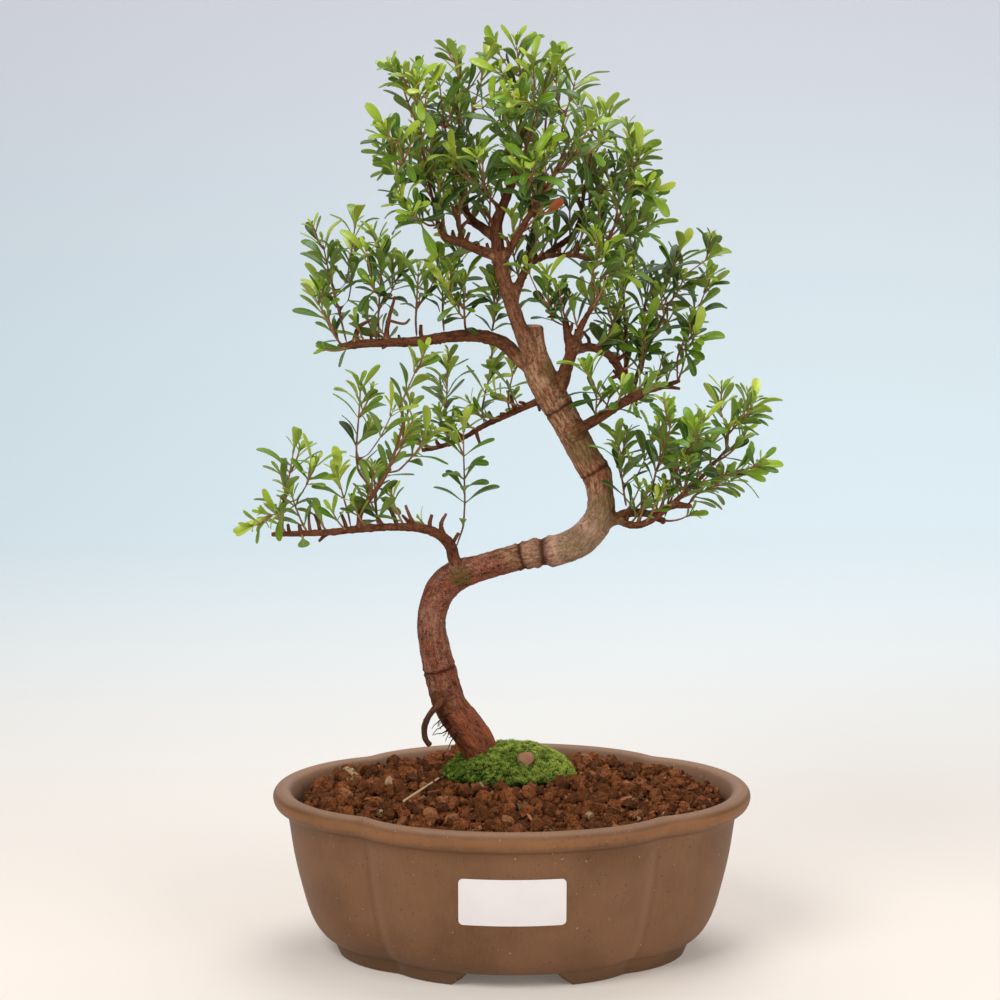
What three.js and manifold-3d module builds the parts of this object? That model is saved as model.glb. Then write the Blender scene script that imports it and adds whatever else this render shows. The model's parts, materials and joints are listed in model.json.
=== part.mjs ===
// A small evergreen tree with a bent trunk, growing in a low four-lobed stoneware pot.
// Units are millimetres. +Z is up and the front of the tree looks towards -Y.
import * as THREE from 'three';
import { mergeVertices } from 'three/addons/utils/BufferGeometryUtils.js';
import Module from 'manifold-3d';

const wasm = await Module();
wasm.setup();

// Pot. All heights are counted from a level just above the soles of its feet.
const RIM_HALF_WIDTH = 100;
const RIM_HALF_DEPTH = 75;
const RIM_HEIGHT = 68;
const SOLE_HEIGHT = -1.9;
const UNDERSIDE_HEIGHT = 3.2;
const FLOOR_TOP = 10.5;
const NOTCH_DEGREES = 47;
const NOTCH_DEPTH = 0.075;
const NOTCH_SPREAD_DEGREES = 13;
const NOTCH_ROUNDING_DEGREES = 2;
const FOOT_SOLE_SPAN = [13, 70];
const FOOT_TOP_SPAN = [9, 77];
const FOOT_OVERLAP = 2.5;
const DRAIN_RADIUS = 8;
const DRAIN_X = 40;
const DRAIN_DEPTH = 20;

// Soil and moss
const SOIL_EDGE_HEIGHT = 62;
const SOIL_MOUND = 6.5;
const MOSS_BED_HEIGHT = 67.5;
const MOSS_CENTRE = { x: -2.5, y: 9 };
const MOSS_HALF_WIDTH = 27;
const MOSS_HALF_DEPTH = 17;
const MOSS_PEAK = { x: 3, y: 13, height: 14.5 };
const PEBBLE_RADIUS = 3.7;
const PEBBLE_PLACE = [6, 0.4, 79.2];
const PEBBLE_FLATNESS = [1, 0.85, 0.88];
const PEBBLE_TILT = 0.3;
const SOIL_INSET = 0.006;
const SOIL_RINGS = [0.93, 0.83, 0.71, 0.58, 0.44, 0.24];
const GRAIN_RELIEF = 1.7;
const TUFT_RELIEF = 1.2;
const LOWEST_TUFT = 0.8;
const MOSS_SECTORS = 20;

// Wood
const TRUNK_SIDES = 10;
const TRUNK_RING_SPACING = 6;
const THICK_RING_SPACING = 8;
const SLIM_RING_SPACING = 13;
const SLIM_SIDES = 4;
const SCAR_RING_STEP = 1.7;
const SCAR_REACH = 3;
const HOLE_SWELL = 1.07;

// Label
const LABEL_HALF_WIDTH = 21.6;
const LABEL_BOTTOM = 27.7;
const LABEL_TOP = 47.7;
const LABEL_THICKNESS = 0.6;
const LABEL_CORNER_CUT = 1.3;

// Foliage
const LEAF_LENGTH = 15.3;
const SHORTEST_SHARE = 0.55;
const LEAF_WIDTH_SHARE = 0.37;
const LEAF_THICKNESS = 0.7;
const SMALL_LEAF = 15.6;
const NECK_LENGTH = 2.6;
const SIDE_STEM_NECK = 2.5;
const LEAF_CLEARANCE = 0.2;
const STEM_HALF = 0.62;
const STEM_TIP_HALF = 0.4;
const STEM_CLEARANCE = 0.25;
const NODE_LENGTH = 1.2;
const BUD_LENGTH = 2.2;
const SIDE_STEM_PAIRS = 2;
const DENSE_HEIGHT = 246;
const FALLEN_SHARE = 0.4;
const BARE_SHARE = 0.2;

// The clear gap between pieces that touch on the real tree. Round surfaces get a little more.
const GAP = 0.3;
const ROUND_GAP = 0.35;

const SEED = 4127;

const vec = (x, y, z) => new THREE.Vector3(x, y, z);
const UP = vec(0, 0, 1);
const radians = THREE.MathUtils.degToRad;

// Seeded random numbers from 0 to 1
function randomSource(seed) {
  let state = seed >>> 0;
  return () => {
    state = (state + 0x6d2b79f5) >>> 0;
    let mixed = Math.imul(state ^ (state >>> 15), 1 | state);
    mixed = (mixed + Math.imul(mixed ^ (mixed >>> 7), 61 | mixed)) ^ mixed;
    return ((mixed ^ (mixed >>> 14)) >>> 0) / 4294967296;
  };
}

// A closed surface built up from shared corners
class Skin {
  constructor() {
    this.corners = [];
    this.triangles = [];
  }

  corner(point) {
    this.corners.push(point.clone());
    return this.corners.length - 1;
  }

  triangle(a, b, c) {
    this.triangles.push([a, b, c]);
  }

  // The split runs from a to c
  quad(a, b, c, d) {
    this.triangle(a, b, c);
    this.triangle(a, c, d);
  }

  // Walls between two rings of corners, both counted anticlockwise seen from the far end
  band(lower, upper) {
    const count = lower.length;
    for (let i = 0; i < count; i += 1) {
      const next = (i + 1) % count;
      this.quad(lower[i], lower[next], upper[next], upper[i]);
    }
  }

  // Walls from a ring of four corners to a ring of three: the underside and the two edges of a leaf
  stalk([lowRight, lowLeft, highLeft, highRight], [under, left, right]) {
    this.triangle(lowRight, lowLeft, under);
    this.triangle(lowLeft, left, under);
    this.triangle(lowLeft, highLeft, left);
    this.quad(highLeft, highRight, right, left);
    this.triangle(highRight, lowRight, right);
    this.triangle(lowRight, under, right);
  }

  // A fan from a ring to one middle corner
  fan(ring, middle) {
    const count = ring.length;
    for (let i = 0; i < count; i += 1) {
      this.triangle(ring[i], ring[(i + 1) % count], middle);
    }
  }

  pointTriangles() {
    return this.triangles.map((triangle) => triangle.map((index) => this.corners[index]));
  }

  geometry() {
    const geometry = new THREE.BufferGeometry();
    const positions = this.corners.flatMap((point) => [point.x, point.y, point.z]);
    geometry.setAttribute('position', new THREE.Float32BufferAttribute(positions, 3));
    geometry.setIndex(this.triangles.flat());
    return geometry;
  }
}

// Joining and cutting
function toSolid(geometry) {
  const bare = geometry.clone();
  bare.deleteAttribute('normal');
  bare.deleteAttribute('uv');
  const merged = mergeVertices(bare, 1e-4);
  const mesh = new wasm.Mesh({
    numProp: 3,
    vertProperties: new Float32Array(merged.attributes.position.array),
    triVerts: new Uint32Array(merged.index.array),
  });
  return new wasm.Manifold(mesh);
}

function toGeometry(solid) {
  const mesh = solid.getMesh();
  const geometry = new THREE.BufferGeometry();
  geometry.setAttribute('position', new THREE.BufferAttribute(mesh.vertProperties, 3));
  geometry.setIndex(new THREE.BufferAttribute(mesh.triVerts, 1));
  return geometry;
}

function join(geometries) {
  let whole = toSolid(geometries[0]);
  for (const geometry of geometries.slice(1)) {
    whole = whole.add(toSolid(geometry));
  }
  return toGeometry(whole);
}

function cut(geometry, tools) {
  let whole = toSolid(geometry);
  for (const tool of tools) {
    whole = whole.subtract(toSolid(tool));
  }
  return toGeometry(whole);
}

// The lobed outline of the pot

// One quarter of the outline, with its steps close together at the notch between two lobes
const QUARTER_STEPS = [-47, -34, -22, -13, -6, 0, 5, 11, 20, 31].map((step) => NOTCH_DEGREES + step);
const OUTLINE_DEGREES = [
  ...QUARTER_STEPS,
  ...QUARTER_STEPS.map((step) => 180 - step).reverse().slice(0, -1),
  ...QUARTER_STEPS.map((step) => 180 + step),
  ...QUARTER_STEPS.map((step) => 360 - step).reverse().slice(0, -1),
];
OUTLINE_DEGREES.splice(QUARTER_STEPS.length, 0, 90);
OUTLINE_DEGREES.splice(3 * QUARTER_STEPS.length, 0, 270);

function notchFactor(degrees) {
  const folded = Math.abs(((degrees % 180) + 180) % 180 - 90);
  const fromNotch = Math.abs(90 - folded - NOTCH_DEGREES);
  const rounded = Math.hypot(fromNotch, NOTCH_ROUNDING_DEGREES) - NOTCH_ROUNDING_DEGREES;
  return 1 - NOTCH_DEPTH * Math.exp(-rounded / NOTCH_SPREAD_DEGREES);
}

function outlinePoint(degrees, share, height) {
  const size = share * notchFactor(degrees);
  const angle = radians(degrees);
  return vec(RIM_HALF_WIDTH * size * Math.cos(angle), RIM_HALF_DEPTH * size * Math.sin(angle), height);
}

function outlineRing(skin, share, height) {
  return OUTLINE_DEGREES.map((degrees) => skin.corner(outlinePoint(degrees, share, height)));
}

// Rings of the pot wall as [share of the rim outline, height]
const WAIST_HEIGHT = 41;
const OUTER_WALL = [
  [0.715, UNDERSIDE_HEIGHT],
  [0.805, 7.4],
  [0.845, 14],
  [0.884, 27],
  [0.915, WAIST_HEIGHT],
  [0.938, 58],
];
const RIM = [
  [0.985, 60],
  [1.0, 63.5],
  [0.99, 67],
  [0.97, RIM_HEIGHT],
  [0.935, RIM_HEIGHT],
  [0.918, 66.3],
];
const INNER_WALL = [
  [0.9, 62],
  [0.832, 27],
  [0.7, FLOOR_TOP],
];

function ringedShell(rings, bottomHeight, topHeight) {
  const skin = new Skin();
  const loops = rings.map(([share, height]) => outlineRing(skin, share, height));
  for (let i = 0; i + 1 < loops.length; i += 1) {
    skin.band(loops[i], loops[i + 1]);
  }
  skin.fan([...loops[0]].reverse(), skin.corner(vec(0, 0, bottomHeight)));
  skin.fan(loops[loops.length - 1], skin.corner(vec(0, 0, topHeight)));
  return skin.geometry();
}

// A foot follows the outline between two gaps, and its ends lean out towards the top
function footGeometry(mirrorX, mirrorY) {
  const sections = 5;
  const topHeight = UNDERSIDE_HEIGHT + FOOT_OVERLAP;
  const skin = new Skin();
  const loops = [];
  for (let i = 0; i <= sections; i += 1) {
    const along = i / sections;
    const sole = THREE.MathUtils.lerp(...FOOT_SOLE_SPAN, along);
    const top = THREE.MathUtils.lerp(...FOOT_TOP_SPAN, along);
    const section = [
      outlinePoint(sole, 0.735, SOLE_HEIGHT),
      outlinePoint(top, 0.765, topHeight),
      outlinePoint(top, 0.58, topHeight),
      outlinePoint(sole, 0.6, SOLE_HEIGHT),
    ];
    loops.push(section.map((point) => skin.corner(vec(point.x * mirrorX, point.y * mirrorY, point.z))));
  }
  for (let i = 0; i < sections; i += 1) {
    skin.band(loops[i], loops[i + 1]);
  }
  skin.quad(...[...loops[0]].reverse());
  skin.quad(...loops[sections]);
  if (mirrorX * mirrorY > 0) {
    skin.triangles.forEach((triangle) => triangle.reverse());
  }
  return skin.geometry();
}

function drainHole(side) {
  const hole = new THREE.CylinderGeometry(DRAIN_RADIUS, DRAIN_RADIUS, DRAIN_DEPTH, 14);
  hole.rotateX(Math.PI / 2);
  hole.translate(side * DRAIN_X, 0, FLOOR_TOP - DRAIN_DEPTH / 4);
  return hole;
}

function potGeometry() {
  const body = ringedShell([...OUTER_WALL, ...RIM, ...INNER_WALL], UNDERSIDE_HEIGHT, FLOOR_TOP);
  const feet = [[1, 1], [-1, 1], [-1, -1], [1, -1]].map(([x, y]) => footGeometry(x, y));
  return cut(join([body, ...feet]), [drainHole(-1), drainHole(1)]);
}

// Wood

// Each branch is a row of [x, y, z, radius] along its middle, with its number of sides
const TRUNK = [
  [-12, 12, 62, 6.6], [-13, 12, 78, 7], [-15, 11, 84, 6.9], [-20, 9, 93, 6.5], [-24.5, 7, 100.5, 6.2],
  [-29, 6, 116, 6.7], [-31.5, 5, 127, 6.2], [-33, 5, 136, 5.8], [-32, 4, 145, 5.9], [-29, 3, 151.5, 5.9],
  [-23, 1, 157, 5.7], [-12, 0, 161, 5.2], [2.5, -2, 165.5, 5.5], [10, -3, 167.5, 5.9], [19, -4, 169, 6.3],
  [28, -5, 173, 6.5], [33.5, -6, 179, 6.3], [36.5, -6, 186, 5.7], [36, -5, 193.5, 5.3],
  [35, -4, 199.5, 6.1], [31, -3, 206, 6.1], [25, -1, 217, 5.9], [20, 0, 226, 6.3], [15.5, 0, 233.5, 6.3],
  [11.5, 0, 241.5, 6.3], [9, 0, 250.5, 5.3], [9, 1, 256, 4.2], [9.2, 1, 261.4, 3.4],
];

const BRANCHES = {
  leader: {
    sides: 7,
    rows: [
      [10, 0, 243, 4.6], [6, -3, 254, 3.6], [2.7, -4, 262, 3.1], [-1, -3, 273, 3.1], [-5, -2, 287.5, 2.9],
      [-6, -1, 296, 2.6], [-6.3, 0, 303, 2.3], [-3.7, 0, 310, 2], [-0.5, 1, 318, 1.6], [2, 2, 327, 1.15],
      [3.6, 3, 337, 0.9], [3, 2, 352, 0.65],
    ],
  },
  leftUpper: {
    sides: 6,
    rows: [
      [9, 2, 243, 3.6], [3, 5, 247, 3], [-2, 7, 252, 2.8], [-5.5, 8, 254, 2.7], [-14.5, 9, 256, 2.6],
      [-26, 10, 255.5, 2.3], [-38, 11, 253.5, 2.1], [-52, 12, 252.8, 1.8], [-65, 12, 252, 1.7],
      [-72, 12, 250.5, 1.4],
    ],
  },
  leftMiddle: {
    sides: 5,
    rows: [
      [15, 3, 231, 2.2], [9, 10, 228, 1.5], [-1, 16, 222.5, 1.3], [-11.5, 21, 217, 1.2],
      [-20.5, 25, 211, 1.1], [-30, 28, 207, 1.1], [-38, 30, 205, 1],
    ],
  },
  leftLower: {
    sides: 6,
    rows: [
      [-21, 1, 158, 3], [-24, -2, 165, 2.6], [-25, -4, 170, 2.4], [-28, -7, 174.5, 2.2],
      [-33, -10, 178, 1.9], [-41, -13, 180, 1.7], [-50.5, -15, 180.5, 1.6], [-63, -17, 180, 1.5],
      [-73, -18, 179, 1.4], [-83, -18, 178.5, 1.3], [-98, -18, 178, 1.1],
    ],
  },
  leftRiser: {
    sides: 4,
    rows: [
      [-62, -17, 179, 1.3], [-61.5, -18, 187, 1.2], [-56, -18, 195, 1.05], [-51, -17, 203, 0.9],
      [-47, -16, 213, 0.75], [-43.5, -15, 226, 0.6],
    ],
  },
  rightUpper: {
    sides: 6,
    rows: [
      [13, 0, 231, 3.2], [19, -1, 235, 3], [22, -2, 244, 2.6], [24, -3, 251, 2.4], [22.5, -4, 258, 1.7],
      [21.5, -5, 265, 1.2],
    ],
  },
  rightUpperFork: {
    sides: 4,
    rows: [[24, -3, 250, 1.8], [28, -6, 261.5, 1.4], [31.5, -8, 268.5, 1], [35.5, -10, 276, 0.65]],
  },
  rightBack: {
    sides: 5,
    rows: [
      [23.5, -3, 250.5, 1.9], [31, 3, 252, 1.8], [38.5, 10, 249, 1.8], [43.5, 16, 243, 1.7],
      [47.5, 21, 234.5, 1.7], [51, 24, 231, 1.5], [60, 28, 231.5, 1.3], [70.5, 31, 234.5, 1],
    ],
  },
  rightRiser: {
    sides: 4,
    rows: [[50.5, 24, 232, 1.2], [55, 24, 246, 0.9], [61, 23, 258, 0.75], [65, 22, 268, 0.6]],
  },
  rightInnerRiser: {
    sides: 4,
    rows: [[47, 21, 236, 1.2], [47.5, 20, 250, 0.9], [46.5, 18, 264, 0.75], [46, 17, 276, 0.6]],
  },
  rightMiddle: {
    sides: 6,
    rows: [
      [22, -2, 216, 3], [28.5, -8, 220.5, 2.3], [36, -12, 225.5, 2], [42.5, -16, 230.5, 1.9],
      [48, -19, 234, 1.9], [52.5, -21, 236, 1.8],
    ],
  },
  rightLower: {
    sides: 6,
    rows: [
      [35, -6, 181, 3], [42, -7, 182, 2.3], [46, -7, 184.5, 2], [52, -5, 184.8, 1.7], [57, -3, 183.5, 1.5],
      [63, 0, 180, 1.3],
    ],
  },
  rightLoop: {
    sides: 5,
    rows: [
      [43, -7, 182.5, 1.7], [47, -11, 181, 1.5], [51.5, -13.5, 181, 1.5], [56, -14.5, 183, 1.5],
      [60.5, -15, 186.5, 1.5], [65, -16, 189.5, 1.4], [73, -17, 189.5, 1.1],
    ],
  },
  rightRunner: {
    sides: 4,
    rows: [[64.5, -16, 189.5, 1.3], [69, -19, 194.5, 1.1], [76, -19, 201, 0.9], [87, -17, 213, 0.65]],
  },
  crownLeft: {
    sides: 5,
    rows: [
      [-5, -1.5, 289, 2.2], [-14.5, -4, 293, 1.9], [-21, -7, 296, 1.7], [-27.5, -10, 299, 1.25],
      [-32, -13, 314, 0.85], [-35, -17, 330, 0.7], [-38.5, -20, 346, 0.6],
    ],
  },
  crownLeftInner: {
    sides: 4,
    rows: [[-20, -6, 295.5, 1.2], [-22.5, -2, 308, 0.85], [-22.5, 3, 325, 0.7], [-21.5, 6, 344, 0.6]],
  },
  crownKnob: {
    sides: 5,
    rows: [[-6, 0, 296.5, 2.3], [-12.5, 6, 301, 1.9], [-16, 10, 303, 1.8], [-20.5, 14, 310, 1],
      [-19, 18, 323, 0.8], [-16.5, 20, 338, 0.6]],
  },
  crownFront: {
    sides: 4,
    rows: [[-4, -2, 287.5, 1.9], [0, -6, 294.5, 1.6], [6, -10, 305.5, 1.25], [11.5, -14, 314.5, 0.95],
      [16.5, -18, 324, 0.75], [22, -20, 337, 0.6]],
  },
  crownRight: {
    sides: 5,
    rows: [[0.5, -3, 272, 2], [4, -1, 281, 1.7], [7.5, 2, 286.5, 1.6], [13, 6, 289, 1.4],
      [18, 10, 292, 1.4], [26, 15, 298.5, 1.1], [30, 19, 316, 0.8], [33, 23, 332, 0.6]],
  },
  crownBack: {
    sides: 4,
    rows: [[7, 1.5, 286, 1.4], [7, 7, 292.5, 1.3], [9, 13, 301, 1.1], [11.5, 19, 310, 0.85],
      [13, 24, 328, 0.7], [14, 27, 344, 0.6]],
  },
  crownRightLow: {
    sides: 4,
    rows: [[13, 6, 289, 1.3], [18.5, 4, 289.7, 1.1], [26, 0, 289.7, 1], [33, -4, 289, 0.9],
      [41, -8, 302, 0.75], [46.5, -10, 316, 0.6]],
  },
  crownSpike: {
    sides: 4,
    rows: [[-1, 0.5, 316, 1.1], [4, -9, 329, 0.75], [8.5, -17, 345, 0.6]],
  },
  aerialRoot: {
    sides: 4,
    rows: [[-24, 5, 105, 1.6], [-31, -1, 102.5, 1], [-34.5, -3, 98.5, 0.9], [-36.3, -4, 94, 0.9],
      [-36, -5, 89.5, 0.8], [-34, -5, 86.5, 0.6]],
  },
  stubLowerA: { sides: 4, rows: [[-40, -12, 179.5, 1.3], [-41.5, -12, 184, 0.9], [-43.5, -12, 189, 0.7]] },
  stubLowerB: { sides: 4, rows: [[-28, -6, 174, 1.4], [-29, -6, 180, 1], [-27, -6, 184.5, 0.7]] },
  stubLowerC: { sides: 4, rows: [[-82, -18, 178, 1], [-82.5, -18, 184, 0.7], [-82, -18, 190, 0.6]] },
  stubUpperA: { sides: 4, rows: [[-52, 12, 252, 1.5], [-51, 12, 261, 1], [-48, 11, 272, 0.7]] },
  stubUpperB: { sides: 4, rows: [[-50.5, 12, 262, 0.8], [-44, 9, 261, 0.7], [-42, 8, 263, 0.6]] },
  stubUpperC: { sides: 4, rows: [[-65, 12, 252, 1.5], [-63, 13, 259, 1], [-56, 14, 263, 0.7]] },
  stubRight: { sides: 4, rows: [[26, 14, 298, 1.2], [28, 17, 304, 0.8]] },
};

// Scars left by training wire, as the distance along the trunk
const WIRE_SCARS = [33, 58, 114, 121, 157, 186];

// The middle of a branch as a smooth curve, with its radius
class Limb {
  constructor(rows) {
    this.rows = rows;
    this.curve = new THREE.CatmullRomCurve3(rows.map(([x, y, z]) => vec(x, y, z)), false, 'centripetal');
    this.length = this.curve.getLength();
  }

  // The share from 0 to 1 counts distance along the curve
  at(share) {
    return this.curve.getPointAt(THREE.MathUtils.clamp(share, 0, 1));
  }

  direction(share) {
    return this.curve.getTangentAt(THREE.MathUtils.clamp(share, 0, 1));
  }

  radius(share) {
    const last = this.rows.length - 1;
    const place = this.curve.getUtoTmapping(THREE.MathUtils.clamp(share, 0, 1)) * last;
    const row = Math.min(Math.floor(place), last - 1);
    return THREE.MathUtils.lerp(this.rows[row][3], this.rows[row + 1][3], place - row);
  }
}

// Two directions square to the first, turned as little as possible from the ones before
function carryFrame(direction, side) {
  const flat = side.clone().addScaledVector(direction, -side.dot(direction)).normalize();
  return { side: flat, front: direction.clone().cross(flat) };
}

// Lumps and shallow ridges that run along the bark
function barkRelief(angle, distance) {
  const ridges = Math.sin(4 * angle + distance * 0.13);
  const lumps = Math.sin(distance * 0.55 + 2 * angle) + Math.sin(distance * 0.31 - angle);
  return 1 + 0.025 * ridges + 0.022 * lumps;
}

function scarRelief(distance) {
  let relief = 1;
  for (const scar of WIRE_SCARS) {
    const offset = (distance - scar) / 1.4;
    relief += 0.13 * (1.4 * offset * offset - 0.55) * Math.exp(-offset * offset);
  }
  return relief;
}

// Distances at which the rings of a limb stand, closer together at the wire scars
function ringDistances(length, spacing, scars) {
  const count = Math.max(2, Math.round(length / spacing));
  const even = Array.from({ length: count + 1 }, (_, i) => (i / count) * length);
  const clear = even.filter((distance) => scars.every((scar) => Math.abs(distance - scar) > SCAR_REACH));
  const close = scars.flatMap((scar) => [scar - SCAR_RING_STEP, scar, scar + SCAR_RING_STEP]);
  return [...clear, ...close].sort((a, b) => a - b);
}

function limbGeometry(limb, sides, spacing, scars = [], relief = 1) {
  const skin = new Skin();
  const loops = [];
  let side = vec(0.3, -1, 0.2);
  for (const distance of ringDistances(limb.length, spacing, scars)) {
    const share = distance / limb.length;
    const middle = limb.at(share);
    const frame = carryFrame(limb.direction(share), side);
    side = frame.side;
    const loop = [];
    for (let i = 0; i < sides; i += 1) {
      const angle = (2 * Math.PI * i) / sides;
      const bark = 1 + relief * (barkRelief(angle, distance) - 1);
      const scar = scars.length > 0 ? scarRelief(distance) : 1;
      const reach = limb.radius(share) * bark * scar;
      const point = middle.clone();
      point.addScaledVector(frame.side, reach * Math.cos(angle));
      point.addScaledVector(frame.front, reach * Math.sin(angle));
      loop.push(skin.corner(point));
    }
    loops.push(loop);
  }
  for (let i = 0; i + 1 < loops.length; i += 1) {
    skin.band(loops[i], loops[i + 1]);
  }
  skin.fan([...loops[0]].reverse(), skin.corner(limb.at(0)));
  skin.fan(loops[loops.length - 1], skin.corner(limb.at(1)));
  return skin.geometry();
}

const trunkLimb = new Limb(TRUNK);
const limbs = [trunkLimb, ...Object.values(BRANCHES).map((branch) => new Limb(branch.rows))];

function woodGeometry() {
  const pieces = [limbGeometry(trunkLimb, TRUNK_SIDES, TRUNK_RING_SPACING, WIRE_SCARS)];
  Object.values(BRANCHES).forEach(({ sides }, index) => {
    const spacing = sides > SLIM_SIDES ? THICK_RING_SPACING : SLIM_RING_SPACING;
    pieces.push(limbGeometry(limbs[index + 1], sides, spacing));
  });
  return join(pieces);
}

// The foot of the trunk made wider, to cut the hole that it stands in
function trunkHole() {
  const rows = TRUNK.slice(0, 5).map(([x, y, z, radius]) => [x, y, z, radius * HOLE_SWELL + GAP]);
  rows[0][2] -= 1;
  return limbGeometry(new Limb(rows), TRUNK_SIDES, TRUNK_RING_SPACING, [], 0.5);
}

// Soil, moss and pebble

function mossReach(angle) {
  return 1 + 0.06 * Math.sin(3 * angle + 1) + 0.04 * Math.sin(7 * angle);
}

function overMossBed(x, y) {
  const across = (x - MOSS_CENTRE.x) / (MOSS_HALF_WIDTH * 1.14);
  const away = (y - MOSS_CENTRE.y) / (MOSS_HALF_DEPTH * 1.18);
  return Math.hypot(across, away) < 1;
}

function soilHeight(x, y) {
  const across = (x - MOSS_CENTRE.x) / 62;
  const away = (y - MOSS_CENTRE.y) / 42;
  return SOIL_EDGE_HEIGHT + SOIL_MOUND * Math.exp(-across * across - away * away);
}

// The wall of the soil keeps its gap inside the pot, and its top is rough with grains
function soilGeometry() {
  const random = randomSource(SEED);
  const wall = [...INNER_WALL].reverse().map(([share, height]) => [share - SOIL_INSET, height]);
  wall[0][1] += GAP;
  const skin = new Skin();
  const loops = wall.map(([share, height]) => outlineRing(skin, share, height));
  const edge = wall[wall.length - 1][0];
  for (const share of SOIL_RINGS) {
    const loop = OUTLINE_DEGREES.map((degrees) => {
      const point = outlinePoint(degrees, share * edge, 0);
      const grain = GRAIN_RELIEF * (random() - 0.5);
      const open = soilHeight(point.x, point.y) + grain;
      point.z = overMossBed(point.x, point.y) ? MOSS_BED_HEIGHT : open;
      return skin.corner(point);
    });
    loops.push(loop);
  }
  for (let i = 0; i + 1 < loops.length; i += 1) {
    skin.band(loops[i], loops[i + 1]);
  }
  skin.fan([...loops[0]].reverse(), skin.corner(vec(0, 0, FLOOR_TOP + GAP)));
  skin.fan(loops[loops.length - 1], skin.corner(vec(0, 0, MOSS_BED_HEIGHT)));
  return cut(skin.geometry(), [trunkHole()]);
}

function pebbleGeometry(swell) {
  const pebble = mergeVertices(new THREE.IcosahedronGeometry(PEBBLE_RADIUS + swell, 1));
  pebble.scale(...PEBBLE_FLATNESS);
  pebble.rotateY(PEBBLE_TILT);
  pebble.translate(...PEBBLE_PLACE);
  return pebble;
}

// Rings of the moss mound as [share of the outline, share of the full height]
const MOSS_RINGS = [[0.9, 0], [1, 0.1], [0.93, 0.33], [0.76, 0.62], [0.5, 0.87], [0.22, 0.98]];

function mossGeometry() {
  const random = randomSource(SEED + 1);
  const base = MOSS_BED_HEIGHT + GAP;
  const skin = new Skin();
  const loops = MOSS_RINGS.map(([share, rise]) => {
    const middleX = THREE.MathUtils.lerp(MOSS_PEAK.x, MOSS_CENTRE.x, share);
    const middleY = THREE.MathUtils.lerp(MOSS_PEAK.y, MOSS_CENTRE.y, share);
    const loop = [];
    for (let i = 0; i < MOSS_SECTORS; i += 1) {
      const angle = (2 * Math.PI * i) / MOSS_SECTORS;
      const reach = share * mossReach(angle);
      const x = middleX + MOSS_HALF_WIDTH * reach * Math.cos(angle);
      const y = middleY + MOSS_HALF_DEPTH * reach * Math.sin(angle);
      const tuft = TUFT_RELIEF * (random() - 0.5);
      const height = rise > 0 ? Math.max(rise * MOSS_PEAK.height + tuft, LOWEST_TUFT) : 0;
      loop.push(skin.corner(vec(x, y, base + height)));
    }
    return loop;
  });
  for (let i = 0; i + 1 < loops.length; i += 1) {
    skin.band(loops[i], loops[i + 1]);
  }
  skin.fan([...loops[0]].reverse(), skin.corner(vec(MOSS_CENTRE.x, MOSS_CENTRE.y, base)));
  const peak = skin.corner(vec(MOSS_PEAK.x, MOSS_PEAK.y, base + MOSS_PEAK.height));
  skin.fan(loops[loops.length - 1], peak);
  return cut(skin.geometry(), [trunkHole(), pebbleGeometry(GAP)]);
}

// The share of the rim outline that the outer wall has at a height
function wallShare(height) {
  const above = OUTER_WALL.findIndex((ring) => ring[1] > height);
  const [lowShare, low] = OUTER_WALL[above - 1];
  const [highShare, high] = OUTER_WALL[above];
  return THREE.MathUtils.mapLinear(height, low, high, lowShare, highShare);
}

function wallFront(x, height) {
  const share = wallShare(height);
  const front = OUTLINE_DEGREES.filter((degrees) => degrees > 225 && degrees < 315);
  const points = front.map((degrees) => outlinePoint(degrees, share, height));
  const right = points.findIndex((point) => point.x > x);
  const from = points[right - 1];
  const to = points[right];
  return THREE.MathUtils.mapLinear(x, from.x, to.x, from.y, to.y);
}

// The blank label on the front of the pot is creased where the facets of the wall meet
function labelGeometry() {
  const columns = [-1, -0.935, 0, 0.935, 1];
  const rows = [0, THREE.MathUtils.inverseLerp(LABEL_BOTTOM, LABEL_TOP, WAIST_HEIGHT), 1];
  const skin = new Skin();
  const sheet = (offset) => columns.map((column) => rows.map((row) => {
    const atEnd = Math.abs(column) === 1;
    const low = atEnd ? LABEL_BOTTOM + LABEL_CORNER_CUT : LABEL_BOTTOM;
    const high = atEnd ? LABEL_TOP - LABEL_CORNER_CUT : LABEL_TOP;
    const height = THREE.MathUtils.lerp(low, high, row);
    const x = column * LABEL_HALF_WIDTH;
    return skin.corner(vec(x, wallFront(x, height) - offset, height));
  }));
  const back = sheet(ROUND_GAP);
  const front = sheet(ROUND_GAP + LABEL_THICKNESS);
  const lastColumn = columns.length - 1;
  const lastRow = rows.length - 1;
  for (let i = 0; i < lastColumn; i += 1) {
    for (let j = 0; j < lastRow; j += 1) {
      skin.quad(front[i][j], front[i + 1][j], front[i + 1][j + 1], front[i][j + 1]);
      skin.quad(back[i][j + 1], back[i + 1][j + 1], back[i + 1][j], back[i][j]);
    }
    skin.quad(back[i][0], back[i + 1][0], front[i + 1][0], front[i][0]);
    skin.quad(front[i][lastRow], front[i + 1][lastRow], back[i + 1][lastRow], back[i][lastRow]);
  }
  for (let j = 0; j < lastRow; j += 1) {
    skin.quad(back[0][j], front[0][j], front[0][j + 1], back[0][j + 1]);
    skin.quad(front[lastColumn][j], back[lastColumn][j], back[lastColumn][j + 1], front[lastColumn][j + 1]);
  }
  return skin.geometry();
}

// Foliage

// Everything already in place is kept as triangles in small boxes of space, so that a new leaf
// or stem can be turned away from what it would cross
const BOX = 8;
const placed = new Map();

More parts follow.
